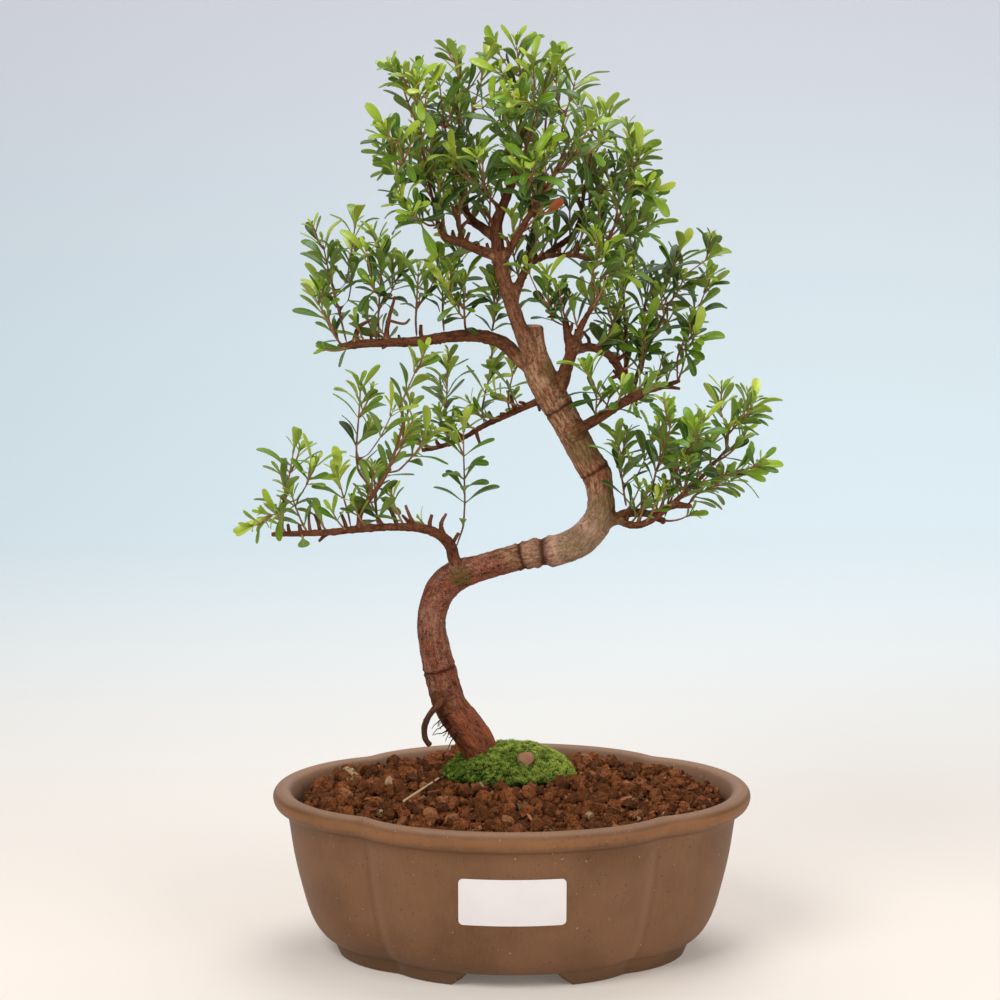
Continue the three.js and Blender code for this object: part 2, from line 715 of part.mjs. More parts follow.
function boxesOf(triangle) {
  const keys = [];
  const span = (axis) => {
    const values = triangle.map((point) => point[axis]);
    return [Math.floor(Math.min(...values) / BOX), Math.floor(Math.max(...values) / BOX)];
  };
  const [x, y, z] = [span('x'), span('y'), span('z')];
  for (let i = x[0]; i <= x[1]; i += 1) {
    for (let j = y[0]; j <= y[1]; j += 1) {
      for (let k = z[0]; k <= z[1]; k += 1) {
        keys.push(`${i} ${j} ${k}`);
      }
    }
  }
  return keys;
}

function place(triangles, owner) {
  for (const triangle of triangles) {
    triangle.owner = owner;
    for (const key of boxesOf(triangle)) {
      if (!placed.has(key)) {
        placed.set(key, []);
      }
      placed.get(key).push(triangle);
    }
  }
}

function trianglesOf(geometry) {
  const position = geometry.attributes.position;
  const corners = Array.from({ length: position.count }, (_, i) => (
    vec(0, 0, 0).fromBufferAttribute(position, i)
  ));
  const index = geometry.index.array;
  const triangles = [];
  for (let i = 0; i < index.length; i += 3) {
    triangles.push([corners[index[i]], corners[index[i + 1]], corners[index[i + 2]]]);
  }
  return triangles;
}

const ray = new THREE.Ray();
const hit = vec(0, 0, 0);

function edgeCrosses(from, to, triangle) {
  ray.origin.copy(from);
  ray.direction.copy(to).sub(from);
  const length = ray.direction.length();
  ray.direction.divideScalar(length);
  const found = ray.intersectTriangle(triangle[0], triangle[1], triangle[2], false, hit);
  return found !== null && found.distanceTo(from) < length;
}

function trianglesCross(first, second) {
  for (const axis of ['x', 'y', 'z']) {
    const a = first.map((point) => point[axis]);
    const b = second.map((point) => point[axis]);
    if (Math.max(...a) < Math.min(...b) || Math.max(...b) < Math.min(...a)) {
      return false;
    }
  }
  for (let i = 0; i < 3; i += 1) {
    const next = (i + 1) % 3;
    if (edgeCrosses(first[i], first[next], second) || edgeCrosses(second[i], second[next], first)) {
      return true;
    }
  }
  return false;
}

// A stalk or side stem may touch its own stem, which is then left out of the test
function isClear(triangles, ownStem) {
  return triangles.every((triangle) => boxesOf(triangle).every((key) => (
    (placed.get(key) ?? []).every((other) => (
      (ownStem && other.owner === ownStem) || !trianglesCross(triangle, other)
    ))
  )));
}

// A leaf starts square at its stalk, widens to one or two sections and ends in its tip. Each section
// has three corners: the midrib under the blade and the blade's two edges.
class Leaf {
  constructor(foot, direction, face, length, width, arch) {
    const small = length < SMALL_LEAF;
    const across = direction.clone().cross(face).normalize();
    const bent = (amount) => (
      direction.clone().multiplyScalar(Math.cos(amount)).addScaledVector(face, -Math.sin(amount))
    );
    const stretches = small
      ? [[0.55, 0.1, 0.48], [0.45, 0.7, 0]]
      : [[0.43, 0.1, 0.46], [0.34, 0.6, 0.43], [0.23, 1.1, 0]];
    this.sections = [];
    let middle = foot;
    for (const [share, bend, half] of stretches) {
      const heading = bent(arch * bend);
      middle = middle.clone().addScaledVector(heading, length * share);
      this.sections.push({ middle, across, face: across.clone().cross(heading), half: half * width });
    }
    this.tip = this.sections.pop().middle;
    this.start = { foot, direction, across, face };
  }

  // The section of the stalk some way along it
  neckAt(distance) {
    const { foot, direction, across, face } = this.start;
    return { middle: foot.clone().addScaledVector(direction, distance), across, face, half: 0.5 };
  }

  sectionPoints({ middle, across, face, half }, swell) {
    const shifted = (sideways, up) => (
      middle.clone().addScaledVector(across, sideways).addScaledVector(face, up)
    );
    return [
      shifted(0, -LEAF_THICKNESS - swell),
      shifted(-half - swell, swell),
      shifted(half + swell, swell),
    ];
  }

  // Grows the leaf out of a four-cornered face of its stem
  grow(skin, base, swell = 0) {
    let ring = base;
    for (const section of this.sections) {
      const next = this.sectionPoints(section, swell).map((point) => skin.corner(point));
      if (ring.length === 4) {
        skin.stalk(ring, next);
      } else {
        skin.band(ring, next);
      }
      ring = next;
    }
    skin.fan(ring, skin.corner(this.tip));
  }

  // The leaf from some way along its stalk, used to see whether it is clear of everything
  trianglesFrom(distance, swell) {
    const skin = new Skin();
    const neck = this.sectionPoints(this.neckAt(distance), swell).map((point) => skin.corner(point));
    this.grow(skin, neck, swell);
    skin.triangle(...[...neck].reverse());
    return skin.pointTriangles();
  }
}

// A young stem is square in section. It rises along its curve, and at each of its nodes two
// opposite faces are left for leaves, or one face for a side stem.
class Stem {
  constructor(curve, leafNodes, startHalf) {
    this.curve = curve;
    this.length = curve.getLength();
    this.startHalf = startHalf;
    this.leafNodes = leafNodes;
    this.forks = [];
    this.faces = new Map();
    this.sideStems = [];
  }

  // Distances of the nodes along the stem, spread over its leafy part
  nodeDistances() {
    const first = this.length * BARE_SHARE;
    const last = this.length - BUD_LENGTH - NODE_LENGTH;
    const count = this.leafNodes;
    const leafy = Array.from({ length: count }, (_, i) => (
      { distance: count > 1 ? THREE.MathUtils.lerp(first, last, i / (count - 1)) : last, order: i }
    ));
    const forked = this.forks.map((fork) => ({ distance: this.length * fork.share, fork }));
    return [...leafy, ...forked].sort((a, b) => a.distance - b.distance);
  }

  // The rings of the stem, in pairs at its nodes
  layRings(roll) {
    this.rings = [];
    this.nodes = this.nodeDistances();
    let side = vec(Math.cos(roll), Math.sin(roll), 0.1);
    const ringAt = (distance) => {
      const share = THREE.MathUtils.clamp(distance / this.length, 0, 1);
      const direction = this.curve.getTangentAt(share);
      const frame = carryFrame(direction, side);
      side = frame.side;
      const half = THREE.MathUtils.lerp(this.startHalf, STEM_TIP_HALF, share);
      this.rings.push({ middle: this.curve.getPointAt(share), direction, ...frame, half });
    };
    ringAt(0);
    for (const node of this.nodes) {
      node.ring = this.rings.length;
      ringAt(node.distance);
      ringAt(node.distance + NODE_LENGTH);
    }
    this.tip = this.curve.getPointAt(1);
  }

  ringPoints({ middle, side, front, half }, swell = 0) {
    const reach = half + swell;
    return [[1, 1], [-1, 1], [-1, -1], [1, -1]].map(([across, away]) => (
      middle.clone().addScaledVector(side, across * reach).addScaledVector(front, away * reach)
    ));
  }

  // The outward direction of one of the four faces at a ring
  faceDirection(ring, face) {
    const { side, front } = this.rings[ring];
    return [front, side, front, side][face].clone().multiplyScalar(face === 0 || face === 3 ? 1 : -1);
  }

  faceMiddle(ring, face) {
    const { half } = this.rings[ring];
    const middle = this.rings[ring].middle.clone().lerp(this.rings[ring + 1].middle, 0.5);
    return middle.addScaledVector(this.faceDirection(ring, face), half);
  }

  // The stem above its foot without leaves, used to see whether it is clear of everything
  coreTriangles(swell, skipped) {
    const skin = new Skin();
    const loops = this.rings.map((ring) => this.ringPoints(ring, swell).map((point) => skin.corner(point)));
    const [foot, second] = this.rings;
    const share = skipped / foot.middle.distanceTo(second.middle);
    const lifted = foot.middle.clone().lerp(second.middle, Math.min(share, 0.9));
    this.ringPoints({ ...foot, middle: lifted }, swell).forEach((point, i) => {
      skin.corners[loops[0][i]].copy(point);
    });
    for (let i = 0; i + 1 < loops.length; i += 1) {
      skin.band(loops[i], loops[i + 1]);
    }
    skin.fan(loops[loops.length - 1], skin.corner(this.tip));
    return skin.pointTriangles();
  }

  // Grows the stem from a ring of corners that is already there, with all that it carries
  grow(skin, base) {
    let ring = base;
    let carried = new Map();
    this.rings.slice(1).forEach((next, order) => {
      const loop = this.ringPoints(next).map((point) => skin.corner(point));
      for (let i = 0; i < 4; i += 1) {
        const face = [ring[i], ring[(i + 1) % 4], loop[(i + 1) % 4], loop[i]];
        const outgrowth = carried.get(i);
        if (outgrowth) {
          outgrowth.grow(skin, face);
        } else {
          skin.quad(...face);
        }
      }
      carried = this.faces.get(order + 1) ?? new Map();
      ring = loop;
    });
    skin.fan(ring, skin.corner(this.tip));
  }
}

const woodTriangles = [];

// The outermost point of the wood on a line that leaves the middle of a limb
function barkPoint(middle, outward, reach) {
  ray.origin.copy(middle);
  ray.direction.copy(outward);
  let farthest = 0;
  for (const triangle of woodTriangles) {
    if (ray.intersectTriangle(triangle[0], triangle[1], triangle[2], false, hit)) {
      const distance = hit.distanceTo(middle);
      if (distance < reach * 1.8) {
        farthest = Math.max(farthest, distance);
      }
    }
  }
  return middle.clone().addScaledVector(outward, farthest || reach);
}

function nearestShare(limb, x, z) {
  let best = 0;
  let nearest = Infinity;
  for (let i = 0; i <= 60; i += 1) {
    const point = limb.at(i / 60);
    const distance = Math.hypot(point.x - x, point.z - z);
    if (distance < nearest) {
      nearest = distance;
      best = i / 60;
    }
  }
  return best;
}

function risingCurve(foot, outward, tip, random, wander) {
  const stray = (amount) => vec(random() - 0.5, random() - 0.5, random() - 0.5).multiplyScalar(amount);
  const end = tip.clone().add(stray(wander));
  const span = end.distanceTo(foot);
  const finish = end.clone().sub(foot).normalize().addScaledVector(UP, 0.45).normalize();
  const start = foot.clone().addScaledVector(outward, span * 0.3).add(stray(wander * 0.4));
  const turn = end.clone().addScaledVector(finish, -span * 0.35).add(stray(wander * 0.4));
  return new THREE.CubicBezierCurve3(foot, start, turn, end);
}

function plantStem(foot, outward, [x, y, z, pairs], startHalf, forks, random, parent) {
  for (let attempt = 0; attempt < 24; attempt += 1) {
    const curve = risingCurve(foot, outward, vec(x, y, z), random, 1 + attempt * 0.6);
    const stem = new Stem(curve, pairs, startHalf);
    stem.forks = forks;
    stem.layRings(random() * Math.PI);
    const whole = stem.coreTriangles(STEM_CLEARANCE, 0);
    const upper = stem.coreTriangles(STEM_CLEARANCE, SIDE_STEM_NECK);
    if (isClear(whole, parent) && isClear(parent ? upper : whole)) {
      place(stem.coreTriangles(0, 0), stem);
      return stem;
    }
  }
  return null;
}

// One spray: a stem that rises from a limb, and a side stem where its row has one
function plantSpray([limbName, footX, footZ, tip, ...sideTips], random) {
  const limb = limbs[1 + Object.keys(BRANCHES).indexOf(limbName)];
  const share = nearestShare(limb, footX, footZ);
  const shifts = [0, 0.03, -0.03, 0.06, -0.06, 0.1, -0.1];
  for (const shift of shifts) {
    const rooted = THREE.MathUtils.clamp(share + shift, 0, 1);
    const middle = limb.at(rooted);
    const along = limb.direction(rooted);
    const towards = vec(tip[0], tip[1], tip[2]).sub(middle).normalize().addScaledVector(UP, 0.3);
    const atEnd = rooted > 0.985;
    const outward = atEnd ? along : carryFrame(along, towards).side;
    const foot = barkPoint(middle, outward, atEnd ? 1 : limb.radius(rooted));
    foot.addScaledVector(outward, ROUND_GAP);
    const forks = sideTips.map((sideTip, i) => ({ share: 0.3 - 0.12 * i, tip: sideTip }));
    if (sideTips.length < 2 && foot.z > DENSE_HEIGHT) {
      forks.push({ share: 0.46 });
    }
    const stem = plantStem(foot, outward, tip, STEM_HALF, forks, random, null);
    if (stem) {
      stem.nodes.filter((node) => node.fork).forEach((node) => addSideStem(stem, node, random));
      return stem;
    }
  }
  return null;
}

// A side stem leaves by the face that looks most towards its tip
function addSideStem(stem, node, random) {
  const ring = stem.rings[node.ring];
  const faces = [0, 1, 2, 3];
  let { tip } = node.fork;
  if (tip) {
    const towards = vec(tip[0], tip[1], tip[2]).sub(ring.middle);
    const facing = (face) => stem.faceDirection(node.ring, face).dot(towards);
    faces.sort((a, b) => facing(b) - facing(a));
    faces.length = 1;
  } else {
    faces.sort(() => random() - 0.5);
  }
  for (const face of faces) {
    const outward = stem.faceDirection(node.ring, face);
    const foot = stem.faceMiddle(node.ring, face);
    const reach = stem.length * (0.45 + 0.15 * random());
    const end = foot.clone().addScaledVector(ring.direction, reach).addScaledVector(outward, 0.7 * reach);
    const goal = tip ?? [end.x, end.y, end.z, SIDE_STEM_PAIRS];
    const side = plantStem(foot, outward, goal, STEM_TIP_HALF, [], random, stem);
    if (side) {
      stem.faces.set(node.ring, new Map([[face, side]]));
      stem.sideStems.push(side);
      return;
    }
  }
}

// A leaf leans out from its stem, turns its upper side partly to the sky and droops to its tip
function leafAt(stem, node, face, random, attempt) {
  const ring = stem.rings[node.ring];
  const outward = stem.faceDirection(node.ring, face);
  const height = stem.leafNodes > 1 ? node.order / (stem.leafNodes - 1) : 1;
  const jitter = () => (random() - 0.5) * (1 + attempt * 0.35);
  const lean = radians(THREE.MathUtils.lerp(58, 30, height) + 22 * jitter());
  const swing = jitter() * 0.55;
  const sideways = ring.direction.clone().cross(outward);
  const direction = ring.direction.clone().multiplyScalar(Math.cos(lean));
  direction.addScaledVector(outward, Math.sin(lean)).addScaledVector(sideways, swing).normalize();
  const inward = ring.direction.clone().multiplyScalar(Math.sin(lean));
  inward.addScaledVector(outward, -Math.cos(lean));
  inward.addScaledVector(UP, 0.5).addScaledVector(sideways, jitter() * 1.1);
  const upperSide = inward.addScaledVector(direction, -inward.dot(direction)).normalize();
  const size = 1 - 0.25 * Math.abs(height - 0.6) + 0.3 * (random() - 0.5);
  const length = LEAF_LENGTH * Math.max(SHORTEST_SHARE, size - attempt * 0.03);
  const width = length * LEAF_WIDTH_SHARE * (0.88 + 0.24 * random());
  const arch = 0.2 + 0.75 * random();
  return new Leaf(stem.faceMiddle(node.ring, face), direction, upperSide, length, width, arch);
}

function plantLeaves(stem, random) {
  for (const node of stem.nodes.filter((candidate) => !candidate.fork)) {
    const carried = new Map();
    const chance = node.order === 0 && stem.leafNodes > 2 ? FALLEN_SHARE : 0;
    const faces = [node.order % 2, (node.order % 2) + 2].filter(() => random() >= chance);
    for (const face of faces) {
      for (let attempt = 0; attempt < 14; attempt += 1) {
        const leaf = leafAt(stem, node, face, random, attempt);
        const whole = leaf.trianglesFrom(0, LEAF_CLEARANCE);
        const blade = leaf.trianglesFrom(NECK_LENGTH, LEAF_CLEARANCE);
        if (isClear(whole, stem) && isClear(blade)) {
          place(leaf.trianglesFrom(0, 0), leaf);
          carried.set(face, leaf);
          break;
        }
      }
    }
    stem.faces.set(node.ring, carried);
  }
}

// Each row is the limb that a spray grows on, the x and z of its foot there, the [x, y, z] of its
// tip with its number of leaf pairs, and the same for a side stem where it has one
const SPRAYS = [
  // Crown
  ['crownLeft', -38, 344, [-42, -23, 363, 4], [-33, -30, 358, 2]],
  ['crownLeft', -33, 321, [-51, -25, 343, 4], [-48, -13, 327, 3]],
  ['crownLeft', -30, 304, [-44, -27, 315, 3]],
  ['crownLeftInner', -22, 329, [-29, -8, 361, 4]],
  ['crownLeftInner', -21.5, 343, [-21, 6, 368, 3]],
  ['crownLeftInner', -22, 315, [-38, 16, 343, 4]],
  ['crownKnob', -17, 336, [-12, 26, 363, 3], [-23, 34, 352, 3]],
  ['crownKnob', -18, 303, [-14, 34, 328, 3]],
  ['leader', 3, 351, [2, 1, 376, 4], [-5, -9, 364, 2]],
  ['leader', 3.5, 336, [-8, -13, 352, 3]],
  ['leader', -4, 309, [-14, -26, 331, 3]],
  ['crownSpike', 8, 344, [16, -22, 367, 3], [5, -33, 355, 3]],
  ['crownFront', 22, 336, [25, -14, 362, 4]],
  ['crownFront', 17, 325, [31, -28, 345, 4]],
  ['crownFront', 10, 312, [8, -36, 331, 4]],
  ['crownBack', 14, 343, [9, 31, 363, 3]],
  ['crownBack', 12, 318, [-2, 38, 340, 3]],
  ['crownRight', 33, 331, [40, 21, 346, 3], [27, 34, 350, 2]],
  ['crownRight', 29, 311, [48, 16, 334, 4], [37, 32, 316, 3]],
  ['crownRightLow', 46, 315, [52, -10, 332, 3], [55, -20, 318, 2]],
  ['crownRightLow', 38, 297, [54, -6, 307, 3]],
  // Right upper mass
  ['rightUpper', 22, 262, [14, -9, 284, 3]],
  ['rightUpperFork', 35, 275, [35, -16, 296, 3], [46, -14, 286, 3]],
  ['rightInnerRiser', 46, 275, [48, 15, 298, 4], [40, 28, 286, 2]],
  ['rightInnerRiser', 47.5, 252, [38, 6, 272, 3]],
  ['rightRiser', 65, 267, [70, 20, 292, 4]],
  ['rightRiser', 57, 250, [58, 37, 280, 4]],
  ['rightBack', 70, 234, [81, 31, 274, 4], [76, 17, 255, 3]],
  ['rightBack', 50, 232, [55, 8, 262, 4]],
  ['rightMiddle', 40, 229, [29, -21, 247, 3]],
  // Right lower pad
  ['rightLower', 47, 184.5, [43, -11, 217, 4], [58, 8, 216, 3]],
  ['rightLower', 62, 180, [74, 13, 212, 4]],
  ['rightLoop', 60, 186, [64, -26, 226, 4]],
  ['rightRunner', 70, 195, [76, -31, 228, 4]],
  ['rightRunner', 87, 212, [98, -19, 233, 4], [84, -6, 230, 2]],
  ['rightRunner', 79, 204, [98, -27, 208, 3]],
  ['rightLoop', 72, 189.5, [86, -8, 199, 3]],
  // Left lower branch
  ['leftLower', -93, 178, [-89, -13, 214, 4], [-79, -22, 209, 3], [-100, -25, 188, 2]],
  ['leftLower', -66, 180, [-71, -22, 204, 3]],
  ['leftRiser', -44, 225, [-38, -14, 247, 3]],
  ['leftRiser', -56, 195, [-62, -11, 239, 4], [-48, -25, 230, 3]],
  ['leftRiser', -51, 203, [-34, -9, 219, 3]],
  ['leftLower', -55, 180, [-57, -4, 204, 3]],
  ['leftLower', -25, 168, [-20, -1, 221, 5]],
  // Left middle branch, behind
  ['leftMiddle', -1, 223, [1, 15, 242, 3]],
  ['leftMiddle', -11, 217, [-9, 25, 241, 3]],
  ['leftMiddle', -26, 209, [-27, 30, 239, 4]],
  // Left upper branch
  ['leftUpper', -70, 251, [-80, 9, 272, 3]],
  ['leftUpper', -68, 252, [-77, 5, 295, 4], [-66, 19, 292, 4]],
  ['leftUpper', -55, 253, [-53, 7, 294, 4], [-46, 18, 283, 3]],
  ['leftUpper', -39, 254, [-38, 2, 284, 3]],
  ['leftUpper', -28, 255, [-29, 18, 284, 3]],
  ['leftUpper', -19, 256, [-20, 1, 281, 3]],
  ['leftUpper', -9, 255, [-5, 15, 277, 3]],
];

const wood = woodGeometry();
woodTriangles.push(...trianglesOf(wood));
place(woodTriangles);

const random = randomSource(SEED + 2);
const sprays = SPRAYS.map((row) => plantSpray(row, random)).filter((stem) => stem);
for (const stem of sprays) {
  [stem, ...stem.sideStems].forEach((leafy) => plantLeaves(leafy, random));
}

function sprayGeometry(stem) {
  const skin = new Skin();
  const base = stem.ringPoints(stem.rings[0]).map((point) => skin.corner(point));
  skin.quad(...[...base].reverse());
  stem.grow(skin, base);
  return skin.geometry();
}

// Materials
const finish = (color, roughness) => new THREE.MeshStandardMaterial({ color, roughness, metalness: 0 });
const STONEWARE = finish('#6f5643', 0.6);
const SOIL = finish('#7d5138', 0.95);
const MOSS = finish('#5c8a26', 0.95);
const PEBBLE = finish('#b48c78', 0.7);
const BARK = finish('#5f4030', 0.85);
const PAPER = finish('#e8e7e3', 0.6);
const LEAF = finish('#4f8424', 0.4);

const sprayPieces = sprays.map((stem, index) => (
  [`spray_${String(index + 1).padStart(2, '0')}`, sprayGeometry(stem), LEAF]
));
const pieces = [
  ['pot', potGeometry(), STONEWARE],
  ['soil', soilGeometry(), SOIL],
  ['moss', mossGeometry(), MOSS],
  ['pebble', pebbleGeometry(0), PEBBLE],
  ['trunk', wood, BARK],
  ['label', labelGeometry(), PAPER],
  ...sprayPieces,
];

// The finished part stands with the middle of its underside at the origin
const bounds = new THREE.Box3();
for (const [, geometry] of pieces) {
  geometry.computeBoundingBox();
  bounds.union(geometry.boundingBox);
}
const middle = bounds.getCenter(vec(0, 0, 0));

const bonsai = new THREE.Group();
bonsai.name = 'syzygium_bonsai';
for (const [name, geometry, material] of pieces) {
  geometry.translate(-middle.x, -middle.y, -bounds.min.z);
  geometry.computeVertexNormals();
  const mesh = new THREE.Mesh(geometry, material);
  mesh.name = name;
  bonsai.add(mesh);
}

export default bonsai;
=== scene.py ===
# %% [markdown]
# # A syzygium bonsai in its pot
# This lesson dresses the plain solids of a small evergreen tree. The solids give every place and size.
# Each of them is given a finer mesh or a better finish, in metres and in the same frame, so that a piece
# goes exactly where its solid says.

# %% Load the solids
import json
import math
import random

import bmesh
import bpy
from mathutils import Matrix, Vector, kdtree, noise
from mathutils.bvhtree import BVHTree

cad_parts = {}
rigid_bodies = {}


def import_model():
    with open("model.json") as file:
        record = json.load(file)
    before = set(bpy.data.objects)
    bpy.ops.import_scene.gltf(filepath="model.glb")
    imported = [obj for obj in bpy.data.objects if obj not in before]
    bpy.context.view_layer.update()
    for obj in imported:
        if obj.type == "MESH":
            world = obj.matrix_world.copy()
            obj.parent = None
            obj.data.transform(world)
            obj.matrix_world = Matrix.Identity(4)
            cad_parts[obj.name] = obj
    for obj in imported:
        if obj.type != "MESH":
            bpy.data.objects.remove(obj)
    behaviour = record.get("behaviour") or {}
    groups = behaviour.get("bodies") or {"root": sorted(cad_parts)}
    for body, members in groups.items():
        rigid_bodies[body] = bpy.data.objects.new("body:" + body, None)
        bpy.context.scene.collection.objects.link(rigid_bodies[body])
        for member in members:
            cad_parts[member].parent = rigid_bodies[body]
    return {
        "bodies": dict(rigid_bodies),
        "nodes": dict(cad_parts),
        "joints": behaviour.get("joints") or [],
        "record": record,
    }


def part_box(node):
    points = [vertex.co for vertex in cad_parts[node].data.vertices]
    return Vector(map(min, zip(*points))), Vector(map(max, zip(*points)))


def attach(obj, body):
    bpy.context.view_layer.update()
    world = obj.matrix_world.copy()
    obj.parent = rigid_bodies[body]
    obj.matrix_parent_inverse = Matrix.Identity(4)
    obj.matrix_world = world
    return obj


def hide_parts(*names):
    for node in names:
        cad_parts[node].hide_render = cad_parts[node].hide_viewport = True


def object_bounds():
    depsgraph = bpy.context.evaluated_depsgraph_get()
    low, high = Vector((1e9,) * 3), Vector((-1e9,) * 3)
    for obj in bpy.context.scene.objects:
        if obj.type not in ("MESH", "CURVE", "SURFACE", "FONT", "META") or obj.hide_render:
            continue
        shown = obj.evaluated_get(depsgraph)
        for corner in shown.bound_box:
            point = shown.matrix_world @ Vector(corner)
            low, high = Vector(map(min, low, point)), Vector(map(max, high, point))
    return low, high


for leftover in list(bpy.data.objects):
    bpy.data.objects.remove(leftover)
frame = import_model()
cad_low, cad_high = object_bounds()
MM = 0.001
print("solids:", len(frame["nodes"]), "box in mm:", [round(side / MM) for side in cad_high - cad_low])

# %% [markdown]
# The tree is measured from the middle of the pot, because that is what the eye takes as its centre, and
# upward from the pot's base line, a little above the soles of its feet. The frame's own origin is
# elsewhere. One helper turns such millimetres into a place in the frame.

# %% Places are counted from the middle of the pot
SOLE_HEIGHT = -1.9
pot_low, pot_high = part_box("pot")
POT_MIDDLE = (pot_low.x + pot_high.x) / 2


def at(x, y, z):
    """A place in the frame, from millimetres right, back and up of the middle of the pot's base line."""
    return Vector((POT_MIDDLE + x * MM, y * MM, (z - SOLE_HEIGHT) * MM))


print("middle of the pot at x =", round(POT_MIDDLE / MM, 2), "mm")

# %% [markdown]
# ## Camera
# The picture looks at the tree from a little above, from about 1.3 m away with a long lens. A long lens
# keeps the pot's ellipse flat. The tilt was found from the height of that ellipse, and the lens from the
# width of the rim.

# %% Set up the camera
CAMERA_DISTANCE = 1300
CAMERA_PITCH = math.radians(9.82)
SENSOR = 36
FOCAL_PIXELS = 3159
PICTURE_PIXELS = 1000
AIM = (-4.93, 0, 189.1)


def new_object(name, data):
    """An object of the scene that shows some data: a mesh, a lamp or a camera."""
    made = bpy.data.objects.new(name, data)
    bpy.context.scene.collection.objects.link(made)
    return made


camera_data = bpy.data.cameras.new("camera")
camera_data.sensor_width = SENSOR
camera_data.lens = SENSOR * FOCAL_PIXELS / PICTURE_PIXELS
camera = new_object("camera", camera_data)
forward = Vector((0, math.cos(CAMERA_PITCH), -math.sin(CAMERA_PITCH)))
camera.location = at(*AIM) - forward * CAMERA_DISTANCE * MM
camera.rotation_euler = (math.pi / 2 - CAMERA_PITCH, 0, 0)
bpy.context.scene.camera = camera
print("lens in mm:", round(camera_data.lens, 1))

# %% [markdown]
# ## Tools for materials
# A material is a graph of nodes. Wiring each node by hand makes long scripts, so two small classes help.
# A Wire is a socket that can be added, multiplied and so on. A Recipe makes the nodes of one material.

# %% Shader maths as plain expressions
UV_NAME = "UVMap"


class Wire:
    """The output of a node. Arithmetic on it adds Math nodes to its recipe."""

    def __init__(self, recipe, socket):
        self.recipe = recipe
        self.socket = socket

    def __add__(self, other):
        return self.recipe.math("ADD", self, other)

    def __sub__(self, other):
        return self.recipe.math("SUBTRACT", self, other)

    def __rsub__(self, other):
        return self.recipe.math("SUBTRACT", other, self)

    def __mul__(self, other):
        return self.recipe.math("MULTIPLY", self, other)

    __radd__ = __add__
    __rmul__ = __mul__


def srgb(red, green, blue):
    """A colour as the eye names it, 0 to 255, turned into the linear light that shaders use."""
    linear = []
    for channel in (red, green, blue):
        share = channel / 255
        linear.append(share / 12.92 if share <= 0.04045 else ((share + 0.055) / 1.055) ** 2.4)
    return (*linear, 1)


class Recipe:
    """The nodes of one material round its Principled shader."""

    def __init__(self, name, **constants):
        self.material = bpy.data.materials.new(name)
        self.material.use_nodes = True
        self.tree = self.material.node_tree
        self.shader = self.tree.nodes["Principled BSDF"]
        for socket, value in constants.items():
            self.shader.inputs[socket.replace("_", " ")].default_value = value

    def node(self, kind, settings=None, inputs=None, output=0):
        """Adds a node. Its settings come first, then the values or wires of its sockets."""
        made = self.tree.nodes.new(kind)
        for key, value in (settings or {}).items():
            setattr(made, key, value)
        for key, value in (inputs or {}).items():
            if isinstance(value, Wire):
                self.tree.links.new(value.socket, made.inputs[key])
            else:
                made.inputs[key].default_value = value
        return Wire(self, made.outputs[output])

    def math(self, operation, first, second):
        return self.node("ShaderNodeMath", {"operation": operation}, {0: first, 1: second})

    def mix(self, factor, first, second):
        """A colour between two, where the factor is 0 and 1."""
        return self.node("ShaderNodeMix", {"data_type": "RGBA"}, {0: factor, 6: first, 7: second}, 2)

    def coats(self, colour, *coats):
        """A colour with coats over it. Each is a mask from 0 to 1 and its red, green and blue."""
        for mask, red, green, blue in coats:
            colour = self.mix(mask, colour, srgb(red, green, blue))
        return colour

    def step(self, value, low, high):
        """A soft step: 0 below low, 1 above high."""
        settings = {"interpolation_type": "SMOOTHSTEP"}
        return self.node("ShaderNodeMapRange", settings, {0: value, 1: low, 2: high})

    def place(self):
        """Object coordinates: metres in the frame."""
        return self.node("ShaderNodeTexCoord", output="Object")

    def axis(self, vector, name):
        return self.node("ShaderNodeSeparateXYZ", inputs={0: vector}, output=name)

    def height(self, place):
        """Millimetres above the pot's base line, as at() counts them."""
        return self.axis(place, "Z") * (1 / MM) + SOLE_HEIGHT

    def uv(self):
        return self.node("ShaderNodeUVMap", {"uv_map": UV_NAME})

    def attribute(self, name, output="Fac"):
        return self.node("ShaderNodeAttribute", {"attribute_name": name}, output=output)

    def stretched(self, vector, scale):
        return self.node("ShaderNodeMapping", inputs={"Vector": vector, "Scale": scale})

    def noise(self, vector, size, detail=3, roughness=0.55, output="Fac"):
        """Cloudy noise whose blobs are about `size` metres across."""
        inputs = {"Vector": vector, "Scale": 1 / size, "Detail": detail, "Roughness": roughness}
        return self.node("ShaderNodeTexNoise", inputs=inputs, output=output)

    def near(self, vector, point, reach):
        """1 at a point, falling to 0 at its reach."""
        gap = self.node("ShaderNodeVectorMath", {"operation": "DISTANCE"}, {0: vector, 1: point}, "Value")
        return 1 - self.step(gap, reach * 0.3, reach)

    def finish(self, **wires):
        """Wires the shader's own sockets and gives the material."""
        for socket, wire in wires.items():
            self.tree.links.new(wire.socket, self.shader.inputs[socket.replace("_", " ")])
        return self.material

    def surface(self, colour, roughness, relief, depth, strength):
        """The material with its colour, its roughness and a relief that is `depth` metres deep."""
        inputs = {"Height": relief, "Distance": depth, "Strength": strength}
        normal = self.node("ShaderNodeBump", inputs=inputs)
        return self.finish(Base_Color=colour, Roughness=roughness, Normal=normal)


# %% [markdown]
# ## Tools for meshes
# Every piece is worked on in a bmesh, Blender's editing form of a mesh, and then written to an object.
# The object stays at the origin and its place is in its mesh, as it is for the solids.

# %% From bmesh to a piece of the model
def shape_to_mesh(bm, name):
    mesh = bpy.data.meshes.new(name)
    bm.to_mesh(mesh)
    bm.free()
    return mesh


